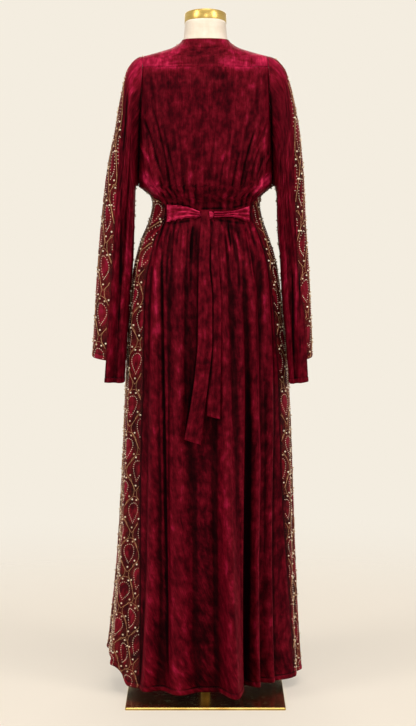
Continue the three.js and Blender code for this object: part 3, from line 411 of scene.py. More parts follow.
def way_along(points: Array, axis: int = 0) -> Array:
    """Measures the way to each point from the first one along a line (0), or along each row of a grid (1)."""
    run = np.cumsum(np.linalg.norm(np.diff(points, axis=axis), axis=-1), axis)
    return np.concatenate([np.zeros_like(run.take([0], axis)), run], axis)


def normals_of(points: Array) -> Array:
    """Works out the outward direction at each point of a grid whose columns run to the right and rows upwards."""
    return unit(np.cross(np.gradient(points, axis=1), np.gradient(points, axis=0)))


def place_of_frame() -> Array:
    """Says where the middle of the base plate lies in the frame, in mm."""
    low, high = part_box("base_plate")
    return np.array([(low.x + high.x) / 2, (low.y + high.y) / 2, 0.0]) / MM


SHIFT = place_of_frame()


def new_object(name: str, vertices: Array, faces: list[Face], material: Material | None,
               edges: list[tuple[int, int]] | None = None) -> Object:
    """Makes a mesh object in the frame from points in mm.

    Args:
        name: The piece's name.
        vertices: Points in mm round the base plate's middle.
        faces: Indices of each face's corners.
        material: Its finish, or None.
        edges: Loose edges, where it has no faces.

    Returns:
        The new object, which lies at the origin with its place in its mesh.
    """
    mesh = bpy.data.meshes.new(name)
    mesh.from_pydata(((np.asarray(vertices) + SHIFT) * MM).tolist(), edges or [], faces)
    mesh.polygons.foreach_set("use_smooth", [True] * len(mesh.polygons))
    mesh.update()
    if material is not None:
        mesh.materials.append(material)
    piece = bpy.data.objects.new(name, mesh)
    bpy.context.scene.collection.objects.link(piece)
    return piece


def grid_faces(rows: int, columns: int, round_about: bool = False) -> list[Face]:
    """Lists the four-cornered faces of a grid.

    Args:
        rows: How many rows of points it has.
        columns: How many points a row has.
        round_about: Whether the last column joins the first.

    Returns:
        The faces, which look towards the viewer of columns that run right and rows that run up.
    """
    j, i = np.meshgrid(np.arange(rows - 1), np.arange(columns if round_about else columns - 1), indexing="ij")
    right = (i + 1) % columns
    return np.stack([j * columns + i, j * columns + right, (j + 1) * columns + right, (j + 1) * columns + i],
                    -1).reshape(-1, 4).tolist()


def close_rings(rows: int, columns: int) -> list[Face]:
    """Lists the faces of rings one above the other, with a flat face at each end."""
    last = (rows - 1) * columns
    return grid_faces(rows, columns, True) + [tuple(range(columns))[::-1], tuple(range(last, last + columns))]


def lathe(profile: list[tuple[float, float]], sides: int) -> Array:
    """Turns a profile of radii and heights round the Z axis and gives its points."""
    turns = np.linspace(0, 2 * np.pi, sides, endpoint=False)
    return np.array([(r * math.cos(a), r * math.sin(a), z) for r, z in profile for a in turns])


@dataclass
class Cloth:
    """A cut piece as it hangs: a grid of its outer face, and where each point lies in the flat cut.

    The grid's columns run to the right as seen from outside and its rows upwards.
    """

    points: Array
    across: Array
    up: Array
    normals: Array = field(init=False)
    # Painted shading: positive values paint shade down to black, negative values paint a highlight.
    closed: Array = field(init=False)

    def __post_init__(self) -> None:
        """Works out the outward directions, and starts with no painted shade or highlight anywhere."""
        self.normals = normals_of(self.points)
        self.closed = np.zeros(self.across.shape)

    def push(self, height: Array) -> None:
        """Moves the cloth outwards by a height at each point, in mm."""
        self.points = self.points + self.normals * height[..., None]
        self.normals = normals_of(self.points)

    def edge_distance(self, bottom: bool, top: bool, sides: bool = True) -> Array:
        """Measures how far each point is from the edges asked for.

        Args:
            bottom: Whether the lower edge counts.
            top: Whether the upper edge counts.
            sides: Whether both side edges count.

        Returns:
            The distances in mm.
        """
        far = np.full(self.across.shape, EVERYWHERE)
        if sides:
            far = np.minimum(self.across - self.across[:, :1], self.across[:, -1:] - self.across)
        if bottom:
            far = np.minimum(far, (self.up - self.up[0])[:, None])
        if top:
            far = np.minimum(far, (self.up[-1] - self.up)[:, None])
        return far

    def roll_in(self, depth: Array | float, width: float, bottom: bool = False, top: bool = True,
                sides: bool = True) -> None:
        """Turns the edges asked for softly inwards by a depth over a width, as a sewn seam lies."""
        near = np.clip(1 - self.edge_distance(bottom, top, sides) / width, 0, 1)
        self.push(-depth * near**2)

    def lay(self, across: Array, up: Array, lift: float) -> tuple[Array, Array]:
        """Finds where places of the flat cut lie on the hanging cloth.

        Args:
            across: How far right of the middle, in mm.
            up: How far above the hem.
            lift: How far over the cloth.

        Returns:
            The points in mm, and which of them lie on the piece.
        """
        rows = len(self.up)
        place = np.interp(up, self.up, np.arange(rows))
        low = np.clip(np.floor(place).astype(int), 0, rows - 2)
        share = place - low
        found = np.zeros((len(up), 3))
        inside = (up >= self.up[0] + 2) & (up <= self.up[-1] - 2)
        for row in np.unique(low):
            at = np.nonzero(low == row)[0]
            both = []
            for r in (row, row + 1):
                lifted = self.points[r] + self.normals[r] * lift
                both.append(np.stack([np.interp(across[at], self.across[r], lifted[:, c]) for c in range(3)], -1))
                inside[at] &= (across[at] > self.across[r, 0] + 2.5) & (across[at] < self.across[r, -1] - 2.5)
            found[at] = mix(both[0], both[1], share[at][:, None])
        return found, inside

    def lie(self) -> Array:
        """Works out the painted shade and highlight at each point, from the folds' shape and the painted shading
        laid on.

        Returns:
            Towards -1 for painted shade in a trough or a seam, towards 1 for a painted highlight on a fold's ridge,
            and up to 3 where the strongest painted highlights are laid on, as on the tie and over the shoulders.
        """
        found = np.zeros(self.across.shape)
        for width, deep, lowest in ((7.0, 1.4, -0.55), (22.0, 7.0, -0.10)):
            for j, row in enumerate(self.across):
                reach = np.minimum(width, np.minimum(row - row[0], row[-1] - row))
                beside = [np.stack([np.interp(row + way * reach, row, self.points[j, :, c]) for c in range(3)], -1)
                          for way in (-1, 1)]
                out = self.points[j] - (beside[0] + beside[1]) / 2
                found[j] += 0.65 * np.clip((out * self.normals[j]).sum(-1) / deep, lowest, 1)
        reach = np.minimum(4.0, np.minimum(self.up - self.up[0], self.up[-1] - self.up))
        beside = []
        for way in (-1, 1):
            place = np.interp(self.up + way * reach, self.up, np.arange(len(self.up)))
            low = np.minimum(place.astype(int), len(self.up) - 2)
            beside.append(mix(self.points[low], self.points[low + 1], (place - low)[:, None, None]))
        out = self.points - (beside[0] + beside[1]) / 2
        found += 0.6 * np.clip((out * self.normals).sum(-1) / 0.8, -1, 1)
        return np.clip(np.clip(found, -1, 1) - self.closed, -1.2, 3.0)

    def flat_places(self) -> Array:
        """Gives where each point lies in the flat cut, in mm."""
        return np.stack([self.across, np.broadcast_to(self.up[:, None], self.across.shape)], -1)

    def area(self) -> float:
        """Adds up the piece's face.

        Returns:
            Its area in square metres.
        """
        one = self.points[1:, 1:] - self.points[:-1, :-1]
        other = self.points[1:, :-1] - self.points[:-1, 1:]
        return float(np.linalg.norm(np.cross(one, other), axis=-1).sum() / 2) * MM * MM

    def flat_size(self) -> tuple[float, float]:
        """Finds the smallest rectangle that the flat piece is cut from.

        Returns:
            Its width and length in metres.
        """
        width = float((self.across[:, -1] - self.across[:, 0]).max()) * MM
        length = float(self.up[-1] - self.up[0]) * MM
        return width, max(length, self.area() / width)

    def piece(self, name: str, material: Material, thickness: float, weld: bool = False) -> Object:
        """Makes the cloth's thin shell.

        Args:
            name: The piece's name.
            material: Its finish.
            thickness: The cloth's thickness in mm, which goes inwards.
            weld: Whether points that meet are joined, for a piece that closes on itself.

        Returns:
            The piece, with the flat cut as its UV map in metres.
        """
        rows, columns = self.across.shape
        made = new_object(name, self.points.reshape(-1, 3), grid_faces(rows, columns), material)
        flat = self.flat_places().reshape(-1, 2)
        corners = np.zeros(len(made.data.loops), int)
        made.data.loops.foreach_get("vertex_index", corners)
        layer = made.data.uv_layers.new(name=UV_NAME)
        layer.data.foreach_set("uv", (flat[corners] * MM).astype(np.float32).ravel())
        # Stores the painted fold shading, which darkens and lightens the velvet's colour.
        made.data.attributes.new(PAINTED_FOLD_SHADING_NAME, "FLOAT", "POINT").data.foreach_set(
            "value", self.lie().astype(np.float32).ravel())
        if weld:
            joined = bmesh.new()
            joined.from_mesh(made.data)
            bmesh.ops.remove_doubles(joined, verts=joined.verts, dist=0.002 * MM)
            joined.to_mesh(made.data)
            joined.free()
        shell = made.modifiers.new("thickness", "SOLIDIFY")
        shell.thickness, shell.offset = thickness * MM, -1
        return made


def hang_cloth(surface: Callable[[Array, Array, Array], Array], rows: Array, starts: Array, ends: Array,
               columns: int) -> Cloth:
    """Hangs a cut between two edges, with columns spaced evenly over its folds and closer by its edges.

    Args:
        surface: Gives points from a place across, its share of the way across, and a row.
        rows: The rows from the hem up.
        starts: Where each row's left edge is.
        ends: Where each row's right edge is.
        columns: How many columns lie between the edges' own.

    Returns:
        The cloth.
    """
    dense = np.linspace(0, 1, 601)
    at = starts[:, None] + (ends - starts)[:, None] * dense
    points = surface(at, np.broadcast_to(dense, at.shape), rows[:, None] + 0 * at)
    length = way_along(points, 1)
    edge = np.array([0, 1.0, 2.2, 3.8, 6.0])
    shares, across = [], []
    for row, total in zip(length, length[:, -1]):
        measure = 0.82 * row / total + 0.18 * dense
        near = np.interp(edge, row, measure)
        far = np.interp(total - edge[::-1], row, measure)
        wanted = np.concatenate([near, np.linspace(near[-1], far[0], columns)[1:-1], far])
        share = np.interp(wanted, measure, dense)
        shares.append(share)
        across.append(np.interp(share, dense, row - np.interp(0.5, dense, row)))
    share = np.array(shares)
    at = starts[:, None] + (ends - starts)[:, None] * share
    grid = surface(at, share, rows[:, None] + 0 * at)
    risen = np.linalg.norm(np.diff(grid, axis=0), axis=-1).mean(1)
    return Cloth(grid, np.array(across), np.concatenate([[0], np.cumsum(risen)]))


def finish_piece(piece: Object, slot: str | None, *replaced: str) -> Object:
    """Lets a piece ride on the part's body.

    Args:
        piece: The finished piece.
        slot: The record's material slot, or None. It is not used.
        replaced: The solids that it stands for.

    Returns:
        The same piece.
    """
    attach(piece, ROOT)
    if replaced:
        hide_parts(*replaced)
    LOG.info("%s: %d faces", piece.name, len(piece.data.polygons))
    return piece


# Finishes


def colour(code: str) -> tuple[float, float, float, float]:
    """Turns an sRGB hex value into linear light with full alpha.

    Args:
        code: The hex value.

    Returns:
        Red, green, blue and alpha.
    """
    parts = [int(code.lstrip("#")[i:i + 2], 16) / 255 for i in (0, 2, 4)]
    linear = [v / 12.92 if v <= 0.04045 else ((v + 0.055) / 1.055) ** 2.4 for v in parts]
    return (*linear, 1.0)


def add_node(tree: NodeTree, kind: str, settings: dict | None = None, inputs: dict | None = None) -> Node:
    """Adds a node with its settings and links.

    Args:
        tree: The tree it goes into.
        kind: The node's type.
        settings: Its properties. "stops" fills a colour ramp with (place, hex value) pairs.
        inputs: Values for its sockets by name or index, or the sockets that lead into them.

    Returns:
        The node.
    """
    made = tree.nodes.new(kind)
    for name, value in (settings or {}).items():
        if name == "stops":
            elements = made.color_ramp.elements
            while len(elements) < len(value):
                elements.new(1.0)
            for element, (place, code) in zip(elements, value):
                element.position, element.color = place, colour(code)
        else:
            setattr(made, name, value)
    for key, value in (inputs or {}).items():
        if isinstance(value, NodeSocket):
            tree.links.new(value, made.inputs[key])
        else:
            made.inputs[key].default_value = value
    return made


def calculate(tree: NodeTree, operation: str, *values: NodeSocket | float) -> NodeSocket:
    """Adds an operation on numbers and gives its result."""
    return add_node(tree, "ShaderNodeMath", {"operation": operation}, dict(enumerate(values))).outputs[0]


def calculate_vector(tree: NodeTree, operation: str, *values: NodeSocket | tuple[float, ...]) -> NodeSocket:
    """Adds an operation on vectors and gives its result, a number where it measures a length."""
    made = add_node(tree, "ShaderNodeVectorMath", {"operation": operation}, dict(enumerate(values)))
    return made.outputs["Value" if operation == "LENGTH" else "Vector"]


def ramp(tree: NodeTree, tone: NodeSocket, *stops: tuple[float, str]) -> NodeSocket:
    """Adds a colour ramp of (place, hex value) stops and gives its colour."""
    return add_node(tree, "ShaderNodeValToRGB", {"stops": stops}, {0: tone}).outputs[0]


def blend(tree: NodeTree, share: NodeSocket, one: NodeSocket, other: NodeSocket | tuple[float, ...]) -> NodeSocket:
    """Adds a mix of two colours and gives its colour."""
    return add_node(tree, "ShaderNodeMix", {"data_type": "RGBA"}, {0: share, 6: one, 7: other}).outputs[2]


def spread(tree: NodeTree, value: NodeSocket, low: float, high: float, to_low: float = 0.0, to_high: float = 1.0,
           way: str = "LINEAR") -> NodeSocket:
    """Adds a map from one range of values to another and gives its result."""
    return add_node(tree, "ShaderNodeMapRange", {"interpolation_type": way}, {
        "Value": value, "From Min": low, "From Max": high, "To Min": to_low, "To Max": to_high}).outputs[0]


def noise(tree: NodeTree, place: NodeSocket, scale: float, detail: float, rough: float = 0.5, bend: float = 0.0,
          space: str = "3D") -> NodeSocket:
    """Adds a noise and gives its tone."""
    return add_node(tree, "ShaderNodeTexNoise", {"noise_dimensions": space}, {
        "Vector": place, "Scale": scale, "Detail": detail, "Roughness": rough, "Distortion": bend}).outputs[0]


def bump(tree: NodeTree, height: NodeSocket, strength: float, distance: float) -> NodeSocket:
    """Adds a relief and gives its normal."""
    return add_node(tree, "ShaderNodeBump", {}, {
        "Strength": strength, "Distance": distance, "Height": height}).outputs[0]


def principled(tree: NodeTree, base: NodeSocket | tuple[float, ...], rough: NodeSocket | float,
               inputs: dict) -> NodeSocket:
    """Adds the shader of a real surface and gives it."""
    return add_node(tree, "ShaderNodeBsdfPrincipled", {}, {
        "Base Color": base, "Roughness": rough, **inputs}).outputs[0]


def object_place(tree: NodeTree) -> NodeSocket:
    """Adds the piece's own coordinates and gives them."""
    return add_node(tree, "ShaderNodeTexCoord").outputs["Object"]


def cut_place(tree: NodeTree) -> NodeSocket:
    """Adds the place in the flat cut, in metres, and gives it."""
    return add_node(tree, "ShaderNodeUVMap", {"uv_map": UV_NAME}).outputs[0]


def painted_fold_shading_input(tree: NodeTree) -> NodeSocket:
    """Adds the painted fold shading, shade and highlight together, and gives it."""
    return add_node(tree, "ShaderNodeAttribute", {"attribute_name": PAINTED_FOLD_SHADING_NAME}).outputs["Fac"]


@dataclass(frozen=True)
class Finish:
    """What all finishes share: a material of their own that ends in one surface."""

    name: str

    def surface(self, tree: NodeTree) -> NodeSocket:
        """Adds the finish's nodes and gives its surface."""
        raise NotImplementedError

    def build(self) -> Material:
        """Makes the material.

        Returns:
            The material.
        """
        material = bpy.data.materials.new(self.name)
        material.use_nodes = True
        tree = material.node_tree
        tree.nodes.clear()
        add_node(tree, "ShaderNodeOutputMaterial", {}, {"Surface": self.surface(tree)})
        return material


@dataclass(frozen=True)
class CrushedVelvet(Finish):
    """Crushed polyester velvet: a knitted ground whose pile was twisted wet, so it lies a different way in each
    patch. Patches whose pile turns away look nearly black and those whose pile lies across shine, drawn as
    random tones. A painted sheen lightens the colour towards the rim, and the painted fold shading paints
    highlights on the folds' ridges and shade, down to black, in their troughs."""

    name: str = "crushed_velvet"
    seed: float = 0.0
    # painted light: lifts the tone all over, used to lighten the tie
    painted_light_lift: float = 0.0
    black: str = "#1e0003"
    dark: str = "#300007"
    deep: str = "#40010b"
    middle: str = "#510311"
    light: str = "#660819"
    bright: str = "#8e1132"
    # the top stop is reached mostly where painted highlights are laid on
    shining: str = "#cc2c54"
    # trough: the painted shade colour in the troughs; rim: the painted sheen colour towards the rim
    trough: str = "#070001"
    rim: str = "#900f2c"
    sheen: str = "#c0082c"
    patch_mm: float = 60.0
    fleck_mm: float = 15.0
    pile_mm: float = 2.6      # real pile rows are 0.7 mm apart, drawn coarser so that they show
    ground_tone: float = 0.115
    # how strongly the painted fold shading shifts the tone
    fold_share: float = 0.065
    lengthwise: bool = False  # whether the cloth is pulled along its width, so that the pile streaks that way

    def tone(self, tree: NodeTree) -> NodeSocket:
        """Mixes the patches, flecks and rows of the pile with the painted fold shading.

        Args:
            tree: The material's tree.

        Returns:
            The socket that gives the pile's tone from 0 to 1.
        """
        # The tone starts from the painted fold shading: lighter on ridges, darker in troughs.
        place, total = cut_place(tree), painted_fold_shading_input(tree)
        share, base = self.fold_share, self.ground_tone + self.painted_light_lift
        for size, tall, detail, rough, bend, weight in (
                (self.patch_mm, 1.5, 2.0, 0.5, 0.1, 0.24), (self.fleck_mm, 1.6, 4.0, 0.62, 0.1, 0.40),
                (self.pile_mm, 14.0, 2.0, 0.5, 0.0, 0.13)):
            short, long = 1 / (size * MM), 1 / (tall * size * MM)
            moved = add_node(tree, "ShaderNodeMapping", {}, {
                "Vector": place, "Location": (self.seed * 3.1, self.seed * 1.7, 0),
                "Scale": (long, short, 1) if self.lengthwise else (short, long, 1)}).outputs[0]
            spots = noise(tree, moved, 1.0, detail, rough, bend, "2D")
            before = calculate(tree, "MULTIPLY_ADD", total, share, base)
            total = calculate(tree, "MULTIPLY_ADD", spots, weight, before)
            share, base = 1.0, 0.0
        return total

    def paint_trough_shade(self, tree: NodeTree, shade: NodeSocket) -> NodeSocket:
        """Paints shade, down to near black, where the painted fold shading is lowest, and gives the colour."""
        closed = spread(tree, painted_fold_shading_input(tree), -0.25, -1.05, 0.0, 0.92, "SMOOTHSTEP")
        return blend(tree, closed, shade, colour(self.trough))

    def surface(self, tree: NodeTree) -> NodeSocket:
        """Adds the nodes of the plain velvet.

        Args:
            tree: The material's tree.

        Returns:
            The surface's socket.
        """
        tone = self.tone(tree)
        shade = ramp(tree, tone, (0.36, self.black), (0.43, self.dark), (0.48, self.deep), (0.53, self.middle),
                     (0.60, self.light), (0.69, self.bright), (0.80, self.shining))
        # Painted sheen lightens the colour towards the rim, and painted shade darkens it in the troughs.
        edge = add_node(tree, "ShaderNodeLayerWeight", {}, {"Blend": 0.35}).outputs["Facing"]
        share = calculate(tree, "MULTIPLY", calculate(tree, "POWER", edge, 2.0), 0.4)
        shaded_colour = self.paint_trough_shade(tree, blend(tree, share, shade, colour(self.rim)))
        return principled(tree, shaded_colour, spread(tree, tone, 0.38, 0.66, 0.75, 0.45), {
            "Specular IOR Level": 0.02, "Sheen Weight": 0.14, "Sheen Roughness": 0.34,
            "Sheen Tint": colour(self.sheen), "Normal": bump(tree, tone, 0.45, 0.006)})


@dataclass(frozen=True)
class EmbroideredVelvet(CrushedVelvet):
    """The same velvet under machine embroidery: ochre filling stitches stipple the ground between the motifs and
    leave the leaves' insides plain, so that they glow red in a darker, browner field."""

    name: str = "embroidered_velvet"
    sheen: str = "#c0142c"
    stipple: str = "#7c3424"
    ground: str = "#33050a"
    cell_mm: tuple[float, float] = (80.0, 104.0)
    leaf_mm: tuple[float, float] = (17.0, 26.0)
    stitch_mm: float = 3.2    # real filling stitches are 1.5 mm, drawn coarser so that they show
    drift_mm: float = 30.0

    def surface(self, tree: NodeTree) -> NodeSocket:
        """Adds the nodes of the leaves, the filling stitches and the ground.

        Args:
            tree: The material's tree.

        Returns:
            The surface's socket.
        """
        tone, place = self.tone(tree), cut_place(tree)
        plain = ramp(tree, tone, (0.38, self.dark), (0.46, self.deep), (0.54, "#6e0918"), (0.64, self.bright))
        field_colour = ramp(tree, tone, (0.40, "#160204"), (0.48, self.ground), (0.56, "#4c070e"), (0.66, "#6c0f1a"))
        wide, tall = (v * MM for v in self.cell_mm)
        leaves = []
        for x, y in ((0.25 * wide, 0.5 * tall), (0.75 * wide, 0.0)):
            local = calculate_vector(tree, "SUBTRACT", place, (x, y, 0))
            cell = calculate_vector(tree, "WRAP", local, (wide / 2, tall / 2, 1), (-wide / 2, -tall / 2, -1))
            sized = calculate_vector(tree, "MULTIPLY", cell, (*(1 / (v * MM) for v in self.leaf_mm), 0))
            leaves.append(calculate_vector(tree, "LENGTH", sized))
        outside = spread(tree, calculate(tree, "MINIMUM", *leaves), 0.92, 1.08)
        stitches = add_node(tree, "ShaderNodeTexVoronoi", {"voronoi_dimensions": "2D"}, {
            "Vector": place, "Scale": 1 / (self.stitch_mm * MM), "Randomness": 0.8}).outputs["Distance"]
        drift = noise(tree, place, 1 / (self.drift_mm * MM), 2.0, space="2D")
        sewn = calculate(tree, "MULTIPLY", spread(tree, stitches, 0.28, 0.16), spread(tree, drift, 0.42, 0.56))
        stippled = blend(tree, calculate(tree, "MULTIPLY", sewn, 0.75), field_colour, colour(self.stipple))
        # Painted shade darkens the colour in the troughs.
        shaded_colour = self.paint_trough_shade(tree, blend(tree, outside, plain, stippled))
        return principled(tree, shaded_colour, 0.62, {
            "Specular IOR Level": 0.05, "Sheen Weight": 0.1, "Sheen Roughness": 0.35,
            "Sheen Tint": colour(self.sheen),
            "Normal": bump(tree, calculate(tree, "MULTIPLY_ADD", sewn, 0.15, tone), 0.5, 0.005)})


@dataclass(frozen=True)
class Linen(Finish):
    """Linen canvas stretched over the padded form: matt, cream, with a plain weave and slight slubs."""

    name: str = "woven_linen"
    light: str = "#f3e8d8"
    shade: str = "#e9dcc8"
    slub_mm: float = 20.0
    thread_mm: float = 1.8    # real threads are 0.6 mm apart, drawn coarser so that they show

    def surface(self, tree: NodeTree) -> NodeSocket:
        """Adds the nodes of the weave.

        Args:
            tree: The material's tree.

        Returns:
            The surface's socket.
        """
        place = object_place(tree)
        tint = ramp(tree, noise(tree, place, 1 / (self.slub_mm * MM), 4.0), (0.35, self.shade), (0.65, self.light))
        weave = calculate(tree, "MULTIPLY", *(
            add_node(tree, "ShaderNodeTexWave", {"bands_direction": way}, {
                "Vector": place, "Scale": 1 / (self.thread_mm * MM) / 20 * 3.2, "Distortion": 0.6,
                "Detail": 1.0}).outputs["Fac"]
            for way in ("X", "Z")))
        return principled(tree, tint, 0.85, {
            "Specular IOR Level": 0.2, "Sheen Weight": 0.1, "Normal": bump(tree, weave, 0.25, 0.0006)})


@dataclass(frozen=True)
class BrushedBrass(Finish):
    """Brass, brushed and clear lacquered: warm yellow, reflections drawn out across the brushing."""

    name: str = "brushed_brass"
    light: str = "#cbb06a"
    dark: str = "#a98a48"
    rough: float = 0.36
    grain: tuple[float, float, float] = (40.0, 40.0, 900.0)

    def surface(self, tree: NodeTree) -> NodeSocket:
        """Adds the nodes of the brushing.

        Args:
            tree: The material's tree.

        Returns:
            The surface's socket.
        """
        place = object_place(tree)
        drawn = add_node(tree, "ShaderNodeMapping", {}, {"Vector": place, "Scale": self.grain}).outputs[0]
        lines = noise(tree, drawn, 1.0, 4.0, 0.6)
        tint = ramp(tree, noise(tree, place, 14.0, 3.0), (0.35, self.dark), (0.65, self.light))
        return principled(tree, tint, spread(tree, lines, 0.3, 0.7, self.rough - 0.06, self.rough + 0.08), {
            "Metallic": 1.0, "Normal": bump(tree, lines, 0.12, 0.0004)})


@dataclass(frozen=True)
class GoldThread(Finish):
    """Metallised polyester thread, couched down: a dull rose gold that glitters where its twist turns."""

    name: str = "gold_thread"
    light: str = "#c9986c"
    dark: str = "#8a5a3a"
    twist_mm: float = 2.6     # a real twist is 0.8 mm long, drawn coarser so that it shows

    def surface(self, tree: NodeTree) -> NodeSocket:
        """Adds the nodes of the twist.

        Args:
            tree: The material's tree.

        Returns:
            The surface's socket.
        """
        twist = noise(tree, object_place(tree), 1 / (self.twist_mm * MM), 1.0)
        return principled(tree, ramp(tree, twist, (0.38, self.dark), (0.62, self.light)), 0.42, {
            "Metallic": 0.45, "Normal": bump(tree, twist, 0.4, 0.0006)})


@dataclass(frozen=True)
class SewingThread(Finish):
    """Spun polyester sewing thread in the velvet's red, matt, a little lighter where its twist catches light."""

    name: str = "red_sewing_thread"
    light: str = "#6a0d20"
    dark: str = "#3a0410"
    twist_mm: float = 2.0     # a real twist is 0.6 mm long, drawn coarser so that it shows

    def surface(self, tree: NodeTree) -> NodeSocket:
        """Adds the nodes of the twist.

        Args:
            tree: The material's tree.

        Returns:
            The surface's socket.
        """
        twist = noise(tree, object_place(tree), 1 / (self.twist_mm * MM), 1.0)
        return principled(tree, ramp(tree, twist, (0.40, self.dark), (0.60, self.light)), 0.8, {
            "Specular IOR Level": 0.2})


@dataclass(frozen=True)
class PearlBead(Finish):
    """Moulded plastic beads with a pearl lacquer: warm white, smooth, with a soft clear gloss."""

    name: str = "pearl_bead"
    light: str = "#f6e8d0"
    dark: str = "#cfae86"

    def surface(self, tree: NodeTree) -> NodeSocket:
        """Adds the nodes of the lacquer.

        Args:
            tree: The material's tree.

        Returns:
            The surface's socket.
        """
        cloud = noise(tree, object_place(tree), 180.0, 1.0)
        return principled(tree, ramp(tree, cloud, (0.35, self.dark), (0.6, self.light)), 0.22, {
            "Coat Weight": 0.5, "Coat Roughness": 0.08})


@dataclass(frozen=True)
class StudioPaper(Finish):
    """Seamless background paper: matt cream. The floor fades out at its rim into the backdrop."""

    name: str = "studio_paper"
    paper: str = "#b7afa2"
    lit: str = "#f8efe2"
    lift: float = 0.45
    glow: float = 0.0
    fades: bool = False

    def surface(self, tree: NodeTree) -> NodeSocket:
        """Adds the nodes of the paper, lit or glowing, and of its fading rim.

        Args:
            tree: The material's tree.

        Returns:
            The surface's socket.
        """
        if self.glow:
            sheet = add_node(tree, "ShaderNodeEmission", {},
                             {"Color": colour(self.paper), "Strength": self.glow}).outputs[0]
        else:
            sheet = principled(tree, colour(self.paper), 0.9, {
                "Specular IOR Level": 0.1, "Emission Color": colour(self.lit), "Emission Strength": self.lift})
        if not self.fades:
            return sheet
        away = calculate_vector(tree, "LENGTH", object_place(tree))
        clear = add_node(tree, "ShaderNodeBsdfTransparent").outputs[0]
        return add_node(tree, "ShaderNodeMixShader", {}, {
            0: spread(tree, away, 0.7, 2.6, way="SMOOTHSTEP"), 1: sheet, 2: clear}).outputs[0]


# Trees that make what repeats


def new_tree(name: str, sizes: dict[str, float | int]) -> tuple[NodeTree, Node, dict[str, str]]:
    """Starts a geometry tree with named inputs.

    Args:
        name: The tree's name.
        sizes: The inputs' names and first values.

    Returns:
        The tree, its input node and the identifier of each input.
    """
    tree = bpy.data.node_groups.new(name, "GeometryNodeTree")
    tree.interface.new_socket("Geometry", in_out="INPUT", socket_type="NodeSocketGeometry")
    tree.interface.new_socket("Geometry", in_out="OUTPUT", socket_type="NodeSocketGeometry")
    for size, value in sizes.items():
        kind = "NodeSocketInt" if isinstance(value, int) else "NodeSocketFloat"
        tree.interface.new_socket(size, in_out="INPUT", socket_type=kind).default_value = value
    tree.interface.new_socket("Finish", in_out="INPUT", socket_type="NodeSocketMaterial")
    names = {item.name: item.identifier for item in tree.interface.items_tree if item.in_out == "INPUT"}
    return tree, add_node(tree, "NodeGroupInput"), names


def end_tree(tree: NodeTree, start: Node, shape: NodeSocket) -> None:
    """Ends a geometry tree with real geometry in its finish.

    Args:
        tree: The tree.
        start: Its input node.
        shape: What it has made.
    """
    real = add_node(tree, "GeometryNodeRealizeInstances", {}, {"Geometry": shape})
    smooth = add_node(tree, "GeometryNodeSetShadeSmooth", {}, {"Geometry": real.outputs[0]})
    dressed = add_node(tree, "GeometryNodeSetMaterial", {},
                       {"Geometry": smooth.outputs[0], "Material": start.outputs["Finish"]})
    add_node(tree, "NodeGroupOutput", {}, {0: dressed.outputs[0]})


def bead_tree() -> tuple[NodeTree, dict[str, str]]:
    """Sews a bead on each point.

    Returns:
        The tree and the identifier of each of its inputs.
    """
    tree, start, names = new_tree("sewn_beads", {"Radius": 0.0013, "Facets": 1, "Seed": 7})
    bead = add_node(tree, "GeometryNodeMeshIcoSphere", {},
                    {"Radius": start.outputs["Radius"], "Subdivisions": start.outputs["Facets"]})
    turned = add_node(tree, "FunctionNodeRandomValue", {"data_type": "FLOAT_VECTOR"},
                      {0: (0, 0, 0), 1: (6.28, 6.28, 6.28), "Seed": start.outputs["Seed"]})
    sewn = add_node(tree, "GeometryNodeInstanceOnPoints", {}, {
        "Points": start.outputs["Geometry"], "Instance": bead.outputs[0], "Rotation": turned.outputs[0]})
    end_tree(tree, start, sewn.outputs[0])
    return tree, names


def thread_tree() -> tuple[NodeTree, dict[str, str]]:
    """Lays a round thread along each line.

    Returns:
        The tree and the identifier of each of its inputs.
    """
    tree, start, names = new_tree("couched_thread", {"Radius": 0.0007, "Sides": 4})
    line = add_node(tree, "GeometryNodeMeshToCurve", {}, {0: start.outputs["Geometry"]})
    profile = add_node(tree, "GeometryNodeCurvePrimitiveCircle", {},
                       {"Resolution": start.outputs["Sides"], "Radius": start.outputs["Radius"]})
    tube = add_node(tree, "GeometryNodeCurveToMesh", {},
                    {0: line.outputs[0], "Profile Curve": profile.outputs[0], "Fill Caps": True})
    end_tree(tree, start, tube.outputs[0])
    return tree, names


def stitch_tree() -> tuple[NodeTree, dict[str, str]]:
    """Sets a short stitch at each step along a line.

    Returns:
        The tree and the identifier of each of its inputs.
    """
    tree, start, names = new_tree("hem_stitches", {"Pitch": 0.0042, "Length": 0.0028, "Thick": 0.0007})
    line = add_node(tree, "GeometryNodeMeshToCurve", {}, {0: start.outputs["Geometry"]})
    steps = add_node(tree, "GeometryNodeResampleCurve", {"mode": "LENGTH"},
                     {"Curve": line.outputs[0], "Length": start.outputs["Pitch"]})
    tangent = add_node(tree, "GeometryNodeInputTangent")
    turned = add_node(tree, "FunctionNodeAlignRotationToVector", {"axis": "X"}, {"Vector": tangent.outputs[0]})
    stitch = add_node(tree, "GeometryNodeMeshIcoSphere", {}, {"Radius": 0.5, "Subdivisions": 1})
    size = add_node(tree, "ShaderNodeCombineXYZ", {}, {
        "X": start.outputs["Length"], "Y": start.outputs["Thick"], "Z": start.outputs["Thick"]})
    sewn = add_node(tree, "GeometryNodeInstanceOnPoints", {}, {
        "Points": steps.outputs[0], "Instance": stitch.outputs[0], "Rotation": turned.outputs[0],
        "Scale": size.outputs[0]})
    end_tree(tree, start, sewn.outputs[0])
    return tree, names


